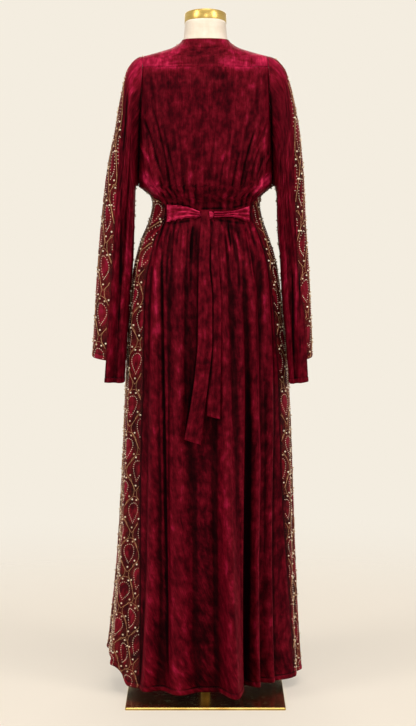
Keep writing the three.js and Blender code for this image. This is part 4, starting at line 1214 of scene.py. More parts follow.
def grow(piece: Object, seeded: tuple[NodeTree, dict[str, str]], values: dict[str, object]) -> Object:
    """Runs a tree on a piece, keeps the result as its plain mesh and lets it ride on the part.

    Args:
        piece: The object with the points or lines.
        seeded: The geometry tree and the identifier of each of its inputs.
        values: What the inputs are set to.

    Returns:
        The same object.
    """
    tree, names = seeded
    maker = piece.modifiers.new(tree.name, "NODES")
    maker.node_group = tree
    for name, value in values.items():
        maker[names[name]] = value
    seen = piece.evaluated_get(bpy.context.evaluated_depsgraph_get())
    mesh = bpy.data.meshes.new_from_object(seen)
    piece.modifiers.clear()
    piece.data = mesh
    mesh.name = piece.name
    return finish_piece(piece, None)


# The stand and the form


@dataclass
class Stand:
    """The brass base plate and pole."""

    side: float = 380.0
    thick: float = 6.0
    bevel: float = 0.8
    pole_radius: float = 11.0
    pole_bevel: float = 0.6
    pole_sides: int = 64
    seam: float = 0.3

    def build(self) -> None:
        """Makes both pieces and dresses them."""
        half, edge = self.side / 2, self.bevel
        rings = [(half - edge, 0), (half, edge), (half, self.thick - edge), (half - edge, self.thick)]
        corner = self._square(half)
        points = [(x * r / half, y * r / half, z) for r, z in rings for x, y in corner]
        plate = new_object("brass_plate", np.array(points), close_rings(len(rings), len(corner)),
                           BrushedBrass("polished_brass", rough=0.2, grain=(30.0, 700.0, 30.0)).build())
        plate.data.polygons.foreach_set("use_smooth", [False] * len(plate.data.polygons))
        finish_piece(plate, "brass", "base_plate")
        low, high, edge = self.thick + self.seam, FORM.key[0] - self.seam, self.pole_bevel
        profile = [(self.pole_radius - edge, low), (self.pole_radius, low + edge),
                   (self.pole_radius, high - edge), (self.pole_radius - edge, high)]
        pole = new_object("brass_pole", lathe(profile, self.pole_sides), close_rings(len(profile), self.pole_sides),
                          BrushedBrass("brass_tube").build())
        finish_piece(pole, "brass", "pole")

    def _square(self, half: float) -> list[tuple[float, float]]:
        """Lists a square's outline with slightly rounded corners.

        Args:
            half: Half its side in mm.

        Returns:
            Places (x, y) round it.
        """
        radius, out = 3.0, []
        for n, (sx, sy) in enumerate(((1, -1), (1, 1), (-1, 1), (-1, -1))):
            for step in range(5):
                turn = math.radians(-90 + 90 * n + 22.5 * step)
                out.append((sx * (half - radius) + radius * math.cos(turn),
                            sy * (half - radius) + radius * math.sin(turn)))
        return out


@dataclass
class DressForm:
    """The padded body with its neck block, and the brass cap on it."""

    tilt: float = math.radians(12)
    tilt_from: float = 1586.0
    cap_radius: float = 50.0
    cap_height: float = 24.0
    cap_edge: float = 2.5
    seam: float = 0.3
    sides: int = 96

    def point(self, angle: Array, z: Array) -> Array:
        """Finds points on the padded body at an angle and height, before the neck is tilted.

        Args:
            angle: Radians from the centre back.
            z: Heights in mm.

        Returns:
            The points in mm.
        """
        half, back, front = (FORM.read(name, z) for name in ("half", "back", "front"))
        middle = (back + front) / 2
        return section(angle, z, {
            "left": half, "right": half, "back": back, "front": front, "leftY": middle, "rightY": middle})

    def normal(self, angle: Array, z: Array) -> Array:
        """Says which way the padded body faces at an angle and height."""
        along = self.point(angle + 1e-3, z) - self.point(angle - 1e-3, z)
        return unit(np.cross(along, self.point(angle, z + 0.5) - self.point(angle, z - 0.5)))

    def build(self) -> None:
        """Makes the body and the cap."""
        levels = np.unique(np.concatenate([
            FORM.key, np.linspace(853, 1500, 70), np.linspace(1500, 1577, 40), np.linspace(1577, 1618, 12)]))
        angle = np.linspace(0, 2 * np.pi, self.sides, endpoint=False)
        grid = self.point(angle[None, :], levels[:, None])
        top_y = float(FORM.values["back"][-1] + FORM.values["front"][-1]) / 2
        tilted = np.clip((levels - self.tilt_from) / (levels[-1] - self.tilt_from), 0, 1)[:, None]
        grid[..., 2] -= tilted * (grid[..., 1] - top_y) * math.tan(self.tilt)
        body = new_object("linen_form", grid.reshape(-1, 3), close_rings(len(levels), self.sides), Linen().build())
        finish_piece(body, "linen", "dress_form")

        r, h, e = self.cap_radius, self.cap_height, self.cap_edge
        bend = [math.radians(a) for a in (0, 22.5, 45, 67.5, 90)]
        profile = [(r - 0.6, 0), (r, 0.6), *((r - e + e * math.cos(a), h - e + e * math.sin(a)) for a in bend)]
        points = lathe(profile, self.sides)
        cos, sin = math.cos(-self.tilt), math.sin(-self.tilt)
        turned = np.stack([points[:, 0], cos * points[:, 1] - sin * points[:, 2],
                           sin * points[:, 1] + cos * points[:, 2]], -1)
        turned += np.array([0, top_y + self.seam * math.sin(self.tilt), FORM.key[-1] + self.seam * 1.2])
        cap = new_object("brass_cap", turned, close_rings(len(profile), self.sides),
                         BrushedBrass("brushed_brass_cap", rough=0.3).build())
        cap.data.polygons[-1].use_smooth = False
        finish_piece(cap, "brass", "neck_cap")


# The garment


@dataclass
class GarmentBody:
    """Back, yoke and front as they hang from the shoulders and are drawn in by the tie."""

    form: DressForm
    cloth: float = 2.0
    shell: float = 1.6
    rest_gap: float = 1.0
    tie_z: float = 1168.0
    hem_z: float = 24.0
    middle_z: float = 640.0
    underarm_z: float = 1233.0
    yoke_z: float = 1512.0
    neck_z: float = 1577.0
    front_neck_z: float = 1488.0
    front_lift: float = 44.0
    stitch_line: float = 12.0
    seam_gap: float = 0.1
    pleat_z: float = 1040.0
    pleat_deep: float = 66.0
    pleat_edge: tuple[float, float] = (24.0, 20.5)
    back_columns: int = 142
    yoke_columns: int = 96
    front_columns: int = 124
    armhole: tuple[float, float] = (148.0, 160.0)
    press: float = 30.0
    shoulder_z: float = field(init=False)
    sewn: dict[str, Cloth] = field(default_factory=dict)

    def __post_init__(self) -> None:
        """Finds the height where the shoulder's slope passes the top of the armhole."""
        side, slope = np.array(np.pi / 2), (1520.0, 1560.0)
        self.shoulder_z = float(close_in(*slope, lambda z: self.point(side, z)[..., 0] > self.armhole[0], 24))

    def fold_height(self, angle: Array, z: Array) -> Array:
        """Adds up the folds that push the cloth out of its plain section.

        Args:
            angle: Radians from the centre back.
            z: Heights in mm.

        Returns:
            How far the cloth stands out, in mm.
        """
        degrees = np.degrees(angle)
        down = np.clip((self.tie_z - z) / (self.tie_z - self.hem_z), 0, 1)
        pressed = ease_between(np.abs(z - self.tie_z), self.press * 0.4, self.press * 1.6)
        skirt = np.zeros(np.broadcast(angle, z).shape)
        upper = (z - self.middle_z) / (self.tie_z - self.middle_z)
        lower = (z - self.hem_z) / (self.middle_z - self.hem_z)
        for f in SKIRT_FOLDS.rows:
            grown = np.where(z > self.middle_z, mix(f["midHigh"], f["tieHigh"], upper),
                             mix(f["hemHigh"], f["midHigh"], lower))
            skirt += grown * pressed * ridge(degrees, mix(f["tie"], f["hem"], down),
                                             mix(f["tieWide"], f["hemWide"], down))
        started = np.clip((self.pleat_z - z) / (self.pleat_z - self.hem_z), 0, 1)
        beyond = ease((degrees - mix(*self.pleat_edge, down)) / mix(5.0, 2.6, started))
        skirt -= self.pleat_deep * started * beyond * (1 - ease_between(degrees, 52, 84))
        bodice = np.zeros_like(skirt)
        for f in BODICE_FOLDS.rows:
            up = np.clip((z - self.tie_z) / (f["topZ"] - self.tie_z), 0, 1)
            bodice += f["high"] * pressed * (1 - ease(up)) * ridge(degrees, mix(f["tie"], f["top"], up), f["wide"])
        height = np.where(z < self.tie_z, skirt, bodice)
        for g in GATHERS.rows:
            reach = np.where(z < self.tie_z, g["below"], g["above"])
            left = 1 - ease(np.abs(z - self.tie_z) / reach)
            height += g["high"] * mix(0.35, 1.0, pressed) * left * ridge(degrees, g["at"], g["wide"])
        return height

    def hanging(self, angle: Array, z: Array) -> Array:
        """Finds points on the plain section that the folds stand out of."""
        names = ("left", "right", "back", "front", "leftY", "rightY")
        return section(angle, z, {name: BODY.read(name, z) for name in names})

    def point(self, angle: Array, z: Array) -> Array:
        """Finds points on the cloth's outer face, which hangs in folds and comes to rest on the shoulders.

        Args:
            angle: Radians from the centre back.
            z: Heights in mm.

        Returns:
            The points in mm.
        """
        angle, z = np.broadcast_arrays(np.asarray(angle, float), np.asarray(z, float))
        rests = ease_between(z, 1478, 1516)[..., None]
        along = self.hanging(angle + 1e-3, z) - self.hanging(angle - 1e-3, z)
        out = unit(np.stack([along[..., 1], -along[..., 0], 0 * along[..., 0]], -1))
        hangs = self.hanging(angle, z) + out * self.fold_height(angle, z)[..., None]
        lies = self.form.point(angle, z) + self.form.normal(angle, z) * (self.cloth + self.rest_gap)
        return mix(hangs, lies, rests)

    def armhole_angle(self, z: Array) -> Array:
        """Gives half the angle that the back spans above the underarm, where the armhole bounds it.

        Args:
            z: Heights in mm.

        Returns:
            The angle in radians at each height.
        """
        z = np.asarray(z, float)
        share = (z - self.underarm_z) / (self.shoulder_z - self.underarm_z)
        seam_x = mix(self.armhole[1], self.armhole[0], share)
        found = close_in(np.zeros(z.shape), np.full(z.shape, np.pi / 2),
                         lambda angle: self.point(angle, z)[..., 0] < seam_x, 26)
        return np.where(z >= self.shoulder_z, np.pi / 2, found)

    def seam_angle(self, x: Array, half: Array) -> Array:
        """Gives the angle at which a section reaches a distance from the middle plane.

        Args:
            x: The distance in mm.
            half: The section's half width.

        Returns:
            The angle in radians.
        """
        found = close_in(np.zeros(x.shape), np.full(x.shape, np.pi / 2),
                         lambda angle: half * np.sin(angle) * (1 + FULLNESS * np.cos(angle) ** 2) < x, 30)
        return np.where(x >= half, np.pi / 2, found)

    def folded_seam_angle(self, x: Array, z: Array) -> Array:
        """Gives the same on the right, where the deep pleat draws the cloth in, by the folded cloth itself.

        Args:
            x: The distance in mm.
            z: Heights in mm.

        Returns:
            The angle in radians at each height.
        """
        side, beyond_pleat = np.full(z.shape, np.pi / 2), np.full(z.shape, np.radians(48))
        found = close_in(beyond_pleat, side, lambda angle: self.point(angle, z)[..., 0] < x, 26)
        return np.where(x >= self.point(side, z)[..., 0], np.pi / 2, found)

    def edges(self, z: Array, piece: BodyPiece) -> tuple[Array, Array]:
        """Says where a piece's left and right edges run.

        Args:
            z: The rows' heights.
            piece: The back with its yoke, or the front.

        Returns:
            The angles of both edges at each height.
        """
        hole = self.armhole_angle(z)
        above = z >= self.underarm_z
        left = np.where(above, -hole, -self.seam_angle(BODY.read("seamL", z), BODY.read("left", z)))
        right = np.where(above, hole, self.folded_seam_angle(BODY.read("seamR", z), z))
        if piece is BodyPiece.BACK:
            return left, right
        return np.where(above, np.pi - hole, right), 2 * np.pi + np.where(above, hole - np.pi, left)

    def rows(self, low: float, high: float) -> Array:
        """Spaces a piece's rows, closest at its ends, round the tie and over the shoulders.

        Args:
            low: The height of its lower edge.
            high: The height of its upper edge.

        Returns:
            The rows' heights.
        """
        near = np.array([0, 1.2, 2.6, 4.2, 6.5, 9.0, 10.5, 12.0, 13.5, 15.5, 19])
        spaced = [low + near, high - near[:5], np.arange(low + 24, 1100, 7.5), np.arange(1100, 1270, 3.2),
                  np.arange(1270, 1480, 5.0), np.arange(1480, 1580, 2.2),
                  self.shoulder_z - np.array([9, 6.5, 4.2, 2.7, 1.6, 0.8, 0.3, 0])]
        found = np.unique(np.round(np.concatenate(spaced), 3))
        found = found[(found >= low) & (found <= high)]
        keep = np.concatenate([[True], np.diff(found) > 0.25])
        keep[-1] = True
        return found[keep]

    def hang(self, low: float, high: float, piece: BodyPiece, columns: int, fixed_z: float,
             top_at: Callable[[Array], Array]) -> Cloth:
        """Hangs one piece of the body.

        Args:
            low: The height of its lower edge.
            high: The height of its upper edge, before that follows the neckline.
            piece: Whose edges it has.
            columns: How many columns it gets.
            fixed_z: The height above which its rows close up to the neckline.
            top_at: The neckline's height at each share of the way across.

        Returns:
            The cloth.
        """
        rows = self.rows(low, high)
        starts, ends = self.edges(rows, piece)

        def surface(angle: Array, share: Array, row: Array) -> Array:
            """Finds the points of the piece's rows.

            Args:
                angle: Radians from the centre back.
                share: The share of the way across.
                row: The row's height before it follows the neckline.

            Returns:
                The points in mm.
            """
            z = np.where(row > fixed_z, mix(fixed_z, top_at(share), (row - fixed_z) / (high - fixed_z)), row)
            if piece is BodyPiece.FRONT:
                degrees = np.degrees(angle)
                raised = self.front_lift * ease_between(degrees, 205, 250) * (1 - ease_between(degrees, 303, 316))
                z = z + raised * (1 - ease_between(row, self.hem_z, 420))
            return self.point(angle, z)

        return hang_cloth(surface, rows, starts, ends, columns)

    def free_of_tie(self, z: Array) -> Array:
        """Says how free of the tie's pressure the cloth is at a height, from 0 to 1."""
        return ease_between(np.abs(z - self.tie_z), 18, 34)

    def crease(self, cloth: Cloth, creases: Creases) -> None:
        """Lays the listed creases into a piece, fading out by its edges and where the tie presses it.

        Args:
            cloth: The piece.
            creases: Its creases.
        """
        flat = cloth.points[..., [0, 2]]
        still = ease_between(cloth.edge_distance(False, True), 0, 14)
        cloth.push(crease_height(flat, creases) * still * self.free_of_tie(flat[..., 1]))

    def seam_roll(self, cloth: Cloth, top: bool, bottom: bool) -> None:
        """Sinks a piece's seams and paints shade along them, darkest at the armholes, where a fold falls into
        the seam.

        Args:
            cloth: The piece.
            top: Whether its upper edge is a seam too.
            bottom: Whether its lower edge is.
        """
        z = cloth.points[..., 2]
        beside = z > self.underarm_z - 4
        deep = np.where(beside, 0.7, 1.3)
        cloth.roll_in(deep, 8.0, bottom=False, top=False)
        near = np.clip(1 - cloth.edge_distance(False, False) / mix(14.0, 6.0, ease_between(z, 1280, 1500)), 0, 1)
        # Painted shade along the seams, widest and strongest beside the armholes.
        cloth.closed += np.where(beside, 1.5 * near * mix(1.0, 0.35, ease_between(z, 1470, 1515)), 0.8 * near**2)
        if top or bottom:
            cloth.roll_in(0.8, 4.0, bottom=bottom, top=top, sides=False)

    def paint_back_shading(self, cloth: Cloth) -> None:
        """Darkens the skirt below the tie, paints shade in the deep pleat and as shadows beside the tails, and
        adds the listed painted highlights and shade lines and the shoulders' painted highlight.

        Args:
            cloth: The back.
        """
        x, z = cloth.points[..., 0], cloth.points[..., 2]
        inside = ease_between(x, 87, 95) * (1 - ease_between(x, 106, 122)) * ease_between(820 - z, 0, 210)
        # The skirt is darker below the tie, and painted shade fills the deep pleat.
        cloth.closed += 0.3 * (1 - ease_between(z, 1110, 1160))
        cloth.closed += mix(0.45, 0.78, ease_between(z, 60, 300)) * inside
        # The listed painted highlights and shade lines.
        cloth.closed -= crease_height(cloth.points[..., [0, 2]], BACK_PAINTED_LIGHT_AND_SHADE)
        # Painted shadows beside the tails' outer edges.
        for tail, edge, way in ((TAIL_LONG, "left", 1), (TAIL_SHORT, "right", -1)):
            beyond = np.abs(x - tail.read(edge, z) - way * 3.0)
            hangs = ease_between(z, tail.key[0] - 6, tail.key[0] + 30) * (1 - ease_between(z, 1120, 1150))
            cloth.closed += 0.9 * np.clip(1.3 - beyond / 7.0, 0, 1) * hangs
        self.paint_shoulder_highlight(cloth)

    def paint_shoulder_highlight(self, cloth: Cloth) -> None:
        """Paints a highlight over the shoulders, where light falls from above, less so below the neck."""
        x, z = cloth.points[..., 0], cloth.points[..., 2]
        cloth.closed -= ease_between(z, 1486, 1520) * mix(0.5, 2.5, ease_between(np.abs(x + 4), 18, 78))

    def hem(self, cloth: Cloth) -> None:
        """Turns the hem up: a little fuller at its edge, with a line drawn in by the stitches above it.

        Args:
            cloth: The piece.
        """
        above = (cloth.up - cloth.up[0])[:, None] + 0 * cloth.across
        line = np.exp(-((above - self.stitch_line) / 1.5) ** 2)
        fuller = 0.8 * (1 - ease_between(above, self.stitch_line - 2, self.stitch_line + 3)) * ease(above / 3)
        cloth.push(fuller - 0.9 * line)
        # Painted shade along the stitched line and a painted highlight on the fuller edge.
        cloth.closed += 0.75 * line - 0.5 * fuller

    def build(self, velvet: Material, yoke_velvet: Material,
              embroidered: Material) -> dict[str, Object]:
        """Makes the body's three pieces.

        Args:
            velvet: The back's finish.
            yoke_velvet: The yoke's finish.
            embroidered: The front's finish.

        Returns:
            The pieces by name.
        """
        back = self.hang(self.hem_z, self.yoke_z - self.seam_gap, BodyPiece.BACK, self.back_columns, EVERYWHERE,
                         lambda share: share)
        self.crease(back, BACK_CREASES)
        self.seam_roll(back, True, False)
        self.paint_back_shading(back)
        self.hem(back)
        yoke = self.hang(self.yoke_z + self.seam_gap, self.neck_z, BodyPiece.BACK, self.yoke_columns, 1567,
                         lambda share: self.neck_z + 3 * np.sin(np.pi * share))
        self.crease(yoke, YOKE_CREASES)
        self.paint_shoulder_highlight(yoke)
        self.seam_roll(yoke, False, True)
        front = self.hang(self.hem_z, self.neck_z, BodyPiece.FRONT, self.front_columns, 1385, lambda share: mix(
            self.front_neck_z, self.neck_z, ease_between(np.abs(2 * share - 1), 0, 0.62)))
        self.crease(front, FRONT_CREASES)
        self.seam_roll(front, False, False)
        self.hem(front)
        self.sewn = {"back": back, "back_yoke": yoke, "front": front}
        finishes = {"back": velvet, "back_yoke": yoke_velvet, "front": embroidered}
        slots = {"back": "velvet", "back_yoke": "velvet", "front": "embroidered_velvet"}
        made = {}
        for name, cloth in self.sewn.items():
            piece = cloth.piece(f"velvet_{name}", finishes[name], self.shell)
            made[name] = finish_piece(piece, slots[name], name)
        return made


@dataclass
class Sleeve:
    """One long open sleeve of two panels, which hangs straight down from the armhole."""

    side: Side
    body: GarmentBody
    shape: Table
    seam: Table
    front_end: float = 0.93
    blend: float = 0.1
    shell: float = 1.6
    sewn: dict[str, Cloth] = field(default_factory=dict)

    @property
    def name(self) -> str:
        """The sleeve's name."""
        return "sleeve_left" if self.side is Side.LEFT else "sleeve_right"

    def armhole_point(self, turn: Array) -> Array:
        """Finds the armhole's edge on the body at the sleeve's angle, from shoulder to underarm.

        Args:
            turn: Radians round the sleeve, from its outer edge over its back.

        Returns:
            The points in mm.
        """
        z = mix(self.body.underarm_z, self.body.shoulder_z, 0.5 + 0.5 * np.cos(turn))
        angle = self.body.armhole_angle(z)
        return self.body.point(self.side.value * np.where(np.sin(turn) >= 0, angle, np.pi - angle), z)

    def point(self, turn: Array, t: Array) -> Array:
        """Finds points on the sleeve's outer face.

        Args:
            turn: Radians round it, from its outer edge over its back.
            t: The share of its length from the armhole down.

        Returns:
            The points in mm.
        """
        row = {name: self.shape.read(name, t) for name in ("outX", "outZ", "inX", "inZ", "back", "front", "midY")}
        cos, sin = np.cos(turn), np.sin(turn)
        across = 0.5 + 0.5 * cos * (1 + FULLNESS * sin * sin)
        deep = np.abs(sin) * (1 + FULLNESS * cos * cos) * np.where(sin > 0, -row["back"], row["front"])
        x = self.side.value * mix(row["inX"], row["outX"], across)
        y = row["midY"] + deep
        for f in SLEEVE_FOLDS.rows:
            grown = f["high"] * ease_between(t, f["from"], f["from"] + 0.4)
            y = y + grown * ridge(np.degrees(turn), f["at"], f["wide"]) * np.where(sin > 0, -1, 1)
        hangs = np.stack([x, y, mix(row["inZ"], row["outZ"], across)], -1)
        joined = 1 - ease_between(t, 0, self.blend)
        seam = self.armhole_point(turn)
        seam[..., 0] += self.side.value * t * 160
        return mix(hangs, seam, joined[..., None])

    def hang(self, rows: Array, start: Callable[[Array], Array], end: Callable[[Array], Array],
             columns: int) -> Cloth:
        """Hangs one panel.

        Args:
            rows: Shares of the sleeve's length, from the cuff up.
            start: Where the panel begins at each row, in radians.
            end: Where it ends.
            columns: How many columns it gets.

        Returns:
            The cloth.
        """
        first, last = start(rows), end(rows)
        if self.side is Side.RIGHT:
            first, last = last, first
        return hang_cloth(lambda turn, share, t: self.point(turn, t), rows, first, last, columns)

    def shape_edges(self, cloth: Cloth, creases: Creases) -> None:
        """Lays a panel's creases, sinks its seams, paints shade by its armhole seam and a highlight over the
        shoulder, and turns up its cuff.

        Args:
            cloth: The panel.
            creases: Its creases.
        """
        still = ease_between(cloth.edge_distance(False, True), 0, 14)
        cloth.push(crease_height(cloth.flat_places(), creases) * still)
        cloth.roll_in(1.3, 8.0, top=False)
        z = cloth.points[..., 2]
        cloth.roll_in(0.6, 8.0, top=True, sides=False)
        near = np.clip(1 - cloth.edge_distance(False, True, False) / 16, 0, 1)
        # Painted shade by the armhole seam and a painted highlight over the shoulder.
        cloth.closed += 1.4 * near * (1 - ease_between(z, 1430, 1510)) - 2.2 * ease_between(z, 1440, 1528)
        # The listed painted highlights and shade lines.
        cloth.closed -= crease_height(cloth.points[..., [0, 2]], SLEEVE_PAINTED_LIGHT_AND_SHADE)
        self.body.hem(cloth)

    def build(self, velvet: Material, embroidered: Material) -> dict[str, Object]:
        """Makes both panels.

        Args:
            velvet: The back panel's finish.
            embroidered: The front panel's finish.

        Returns:
            The pieces by name.
        """
        def rows_to(end: float) -> Array:
            """Spaces rows from the cuff up to the armhole.

            Args:
                end: The cuff's share of the length.

            Returns:
                Shares of the length, from the cuff up.
            """
            near = np.array([0, 1.2, 2.6, 4.2, 6.5, 9.0, 10.5, 12.0, 13.5, 15.5]) / 770
            shares = np.concatenate([
                end - near, np.arange(end - 0.03, 0.24, -0.0115), np.arange(0.24, 0.05, -0.006),
                [0.05, 0.043, 0.036, 0.03, 0.024, 0.018, 0.013, 0.008, 0.004, 0.0]])
            return np.unique(shares)[::-1]

        def upper(t: Array) -> Array:
            """Says where the upper seam runs, in radians."""
            return np.radians(self.seam.read("at", t))

        back = self.hang(rows_to(1.0), upper, lambda t: np.pi + 0 * t, 56)
        front = self.hang(rows_to(self.front_end), lambda t: np.pi + 0 * t, lambda t: 2 * np.pi + upper(t), 60)
        self.shape_edges(back, SLEEVE_BACK_CREASES)
        self.shape_edges(front, SLEEVE_FRONT_CREASES)
        self.sewn = {f"{self.name}_back": back, f"{self.name}_front": front}
        made = {}
        for name, cloth in self.sewn.items():
            finish, slot = (velvet, "velvet") if cloth is back else (embroidered, "embroidered_velvet")
            made[name] = finish_piece(cloth.piece(f"velvet_{name}", finish, self.shell), slot, name)
        return made


@dataclass
class WaistTie:
    """The tie's two bands, its knot and its two tails, in the same velvet sewn double."""

    body: GarmentBody
    cloth: float = 2.4
    shell: float = 2.0
    clear: float = 1.6
    knot_at: tuple[float, float] = (4.0, 1165.0)
    knot_size: tuple[float, float, float] = (31.0, 12.0, 19.0)
    knot_clear: float = 1.2
    tail_clear: float = 1.0
    tail_layer: float = 4.8
    sewn: dict[str, Cloth] = field(default_factory=dict)

    def __post_init__(self) -> None:
        """Reads the back's outermost cloth at each height."""
        self.levels = np.arange(600.0, 1204.0, 3.0)
        angle = np.radians((np.arange(161) - 80) * 0.7)
        self.sections = self.body.point(angle[None, :], self.levels[:, None])
        lifted = crease_height(self.sections[..., [0, 2]], BACK_CREASES)
        self.sections[..., 1] -= np.maximum(lifted * self.body.free_of_tie(self.sections[..., 2]), 0)

    def reach(self, z: float, from_x: float, to_x: float) -> float:
        """Finds the outermost cloth of the back between two places across.

        Args:
            z: The height in mm.
            from_x: The left one in mm.
            to_x: The right one in mm.

        Returns:
            Its depth, Y in mm.
        """
        row = self.sections[int(np.clip(round((z - self.levels[0]) / 3), 0, len(self.levels) - 1))]
        near = (row[:, 0] > from_x - 2) & (row[:, 0] < to_x + 2)
        return float(row[near, 1].min())

    def seat(self) -> float:
        """Gives the depth of the knot's middle."""
        x, z = self.knot_at
        return self.reach(z, x - 14, x + 14) - self.knot_clear - self.knot_size[1] / 2

    def band(self, shape: Table) -> Cloth:
        """Hangs a band along the waist, drawn together into lengthwise pleats towards the knot.

        Args:
            shape: The band's lower and upper edge along its length.

        Returns:
            The cloth.
        """
        xs, vs = np.linspace(shape.key[0], shape.key[-1], 66), np.linspace(0, 1, 37)
        grid = np.zeros((len(vs), len(xs), 3))
        for i, x in enumerate(xs):
            low, high = float(shape.read("low", x)), float(shape.read("high", x))
            near = min(max(1 - abs(x - self.knot_at[0]) / 110, 0), 1)
            base = self.reach(self.body.tie_z, x - 8, x + 8)
            for j, v in enumerate(vs):
                z = mix(low, high, v)
                wave = 0.5 - 0.5 * math.cos(v * 6 * math.pi + 0.5 * math.sin(x * 0.05))
                fine = 0.5 - 0.5 * math.cos(v * 14 * math.pi + x * 0.035)
                pleats = (1.8 + 2.0 * near) * wave + (0.35 + 0.5 * near) * fine * math.sin(math.pi * v)
                widest = min(base, self.reach(z, x - 8, x + 8))
                grid[j, i] = (x, widest - self.clear - self.cloth - pleats, z)
        return self.cut(grid)

    def cut(self, grid: Array) -> Cloth:
        """Makes a piece of the tie from its grid and rolls its edges in.

        Args:
            grid: The points of its outer face.

        Returns:
            The cloth.
        """
        across = way_along(grid, 1)
        up = np.concatenate([[0], np.cumsum(np.linalg.norm(np.diff(grid, axis=0), axis=-1).mean(1))])
        cloth = Cloth(grid, across - across[:, -1:] / 2, up)
        cloth.roll_in(1.0, 2.4, bottom=True, top=True)
        return cloth

    def tail_path(self, shape: Table, layer: int) -> tuple[list[float], list[float]]:
        """Traces a tail from the knot: taut over the hips, then plumb.

        Args:
            shape: The tail's edges.
            layer: 0 for the one that lies on the back, 1 for the one over it.

        Returns:
            Depths and heights from the top down.
        """
        top, bottom = float(shape.key[-1]), float(shape.key[0])
        reach, depths, heights = 0.0, [], []
        for i in range(17):
            z = top - i * (top - bottom) / 16
            left = min(float(TAIL_LONG.read("left", z)), 0) - 4
            right = float(TAIL_SHORT.read("right", z)) + 4
            reach = min([reach, *(self.reach(near, left, right) for near in (z - 6, z, z + 6))])
            depths.append(reach - self.tail_clear - self.cloth - layer * self.tail_layer)
            heights.append(z)
        return depths, heights

    def tail(self, shape: Table, path: tuple[list[float], list[float]], slant: float, folds_at: float) -> Cloth:
        """Hangs a tail along its path.

        Args:
            shape: The tail's edges at each height.
            path: Depths and heights from the top down.
            slant: How much lower its end's right corner hangs.
            folds_at: The height of the soft fold across it, or 0.

        Returns:
            The cloth.
        """
        depths, heights = (np.array(v[::-1], float) for v in path)
        run = way_along(np.stack([depths, heights], -1))
        rows = np.linspace(0, run[-1], 120)
        y, z = np.interp(rows, run, depths), np.interp(rows, run, heights)
        kernel = np.hanning(9) / np.hanning(9).sum()
        y = np.convolve(np.pad(y, 4, mode="edge"), kernel, mode="valid")
        u = np.linspace(0, 1, 25)[None, :]
        left, right = shape.read("left", z)[:, None], shape.read("right", z)[:, None]
        top = ease_between(z, 1040, 1150)[:, None]
        low = float(heights[0])
        ending = (1 - ease_between(z - low, 0, 90))[:, None]
        x = mix(left, right, u)
        pleat = 1.3 * top * (0.5 - 0.5 * np.cos(u * 6 * np.pi))
        curl = 1.0 * np.sin(z[:, None] * 0.021 + 1.2) * (u - 0.5) + 0.6 * np.sin(z[:, None] * 0.047) * (1 - top)
        long_crease = 0.9 * np.exp(-((u - 0.42 - 0.1 * np.sin(z[:, None] * 0.008)) / 0.09) ** 2) * (1 - top)
        cross = 2.6 * np.exp(-((z[:, None] - folds_at - 3 * u) / 5.5) ** 2) if folds_at else 0.0
        dent = 1.6 * np.exp(-((z[:, None] - folds_at + 12) / 7) ** 2) if folds_at else 0.0
        grid = np.stack([x, y[:, None] - pleat - np.abs(curl) - long_crease - cross + 0 * u,
                         z[:, None] + ending * slant * (0.5 - u)], -1)
        grid[..., 1] += np.minimum(dent, 0.6) if folds_at else 0.0
        return self.cut(grid)

    def knot(self) -> Cloth:
        """Wraps the knot: a rounded bundle with three soft pleats round it.

        Returns:
            The cloth.
        """
        x, z = self.knot_at
        wide, deep, high = self.knot_size
        along = np.linspace(0, 1, 36) * np.pi
        turn = np.linspace(0, 2 * np.pi, 49)
        swell = np.abs(np.sin(along))[None, :] ** 0.6
        pleat = 1 - 0.07 * (0.5 - 0.5 * np.cos(turn * 5))[:, None] - 0.04 * np.cos(turn * 9 + 1)[:, None]
        grid = np.stack([
            x - wide / 2 * np.cos(along)[None, :] + 0 * turn[:, None],
            self.seat() - deep / 2 * swell * pleat * np.cos(turn)[:, None],
            z + high / 2 * swell * pleat * np.sin(turn)[:, None]], -1)
        across = np.broadcast_to(np.linspace(-wide / 2, wide / 2, 36), grid.shape[:2]).copy()
        return Cloth(grid, across, np.linspace(0, np.pi * (deep + high) / 2, len(turn)))

    def build(self, velvet: Material, tail_velvet: Material) -> dict[str, Object]:
        """Makes the tie's five pieces.

        Args:
            velvet: The finish of the bands and the knot, lightened all over as painted light.
            tail_velvet: The tails' finish.

        Returns:
            The pieces by name.
        """
        face = self.seat() - self.knot_size[1] / 2 - 0.3 - self.cloth
        z, half, over = self.knot_at[1], self.knot_size[2] / 2, self.cloth + 0.3
        depths, heights = self.tail_path(TAIL_LONG, 1)
        below = [(y, h) for y, h in zip(depths, heights) if h < z - self.knot_size[2]]
        top = [(face + 10, z + half + over), (face + 6, z + half + over + 0.2), (face + 2.6, z + half + over - 2.2),
               (face + 0.6, z + 4), (face, z - 4)]
        path = tuple(list(v) for v in zip(*(top + below)))
        self.sewn = {
            "tie_left": self.band(BAND_LEFT),
            "tie_right": self.band(BAND_RIGHT),
            "tail_long": self.tail(TAIL_LONG, path, 12, 812),
            "tail_short": self.tail(TAIL_SHORT, self.tail_path(TAIL_SHORT, 0), 8, 0),
            "knot": self.knot(),
        }
        # Painted highlights: strongest on the bands and the knot, slight on the tails.
        for name, painted_highlight in (("tie_left", 2.3), ("tie_right", 1.7), ("knot", 1.8), ("tail_long", 0.3),
                             ("tail_short", 0.3)):
            self.sewn[name].closed -= painted_highlight
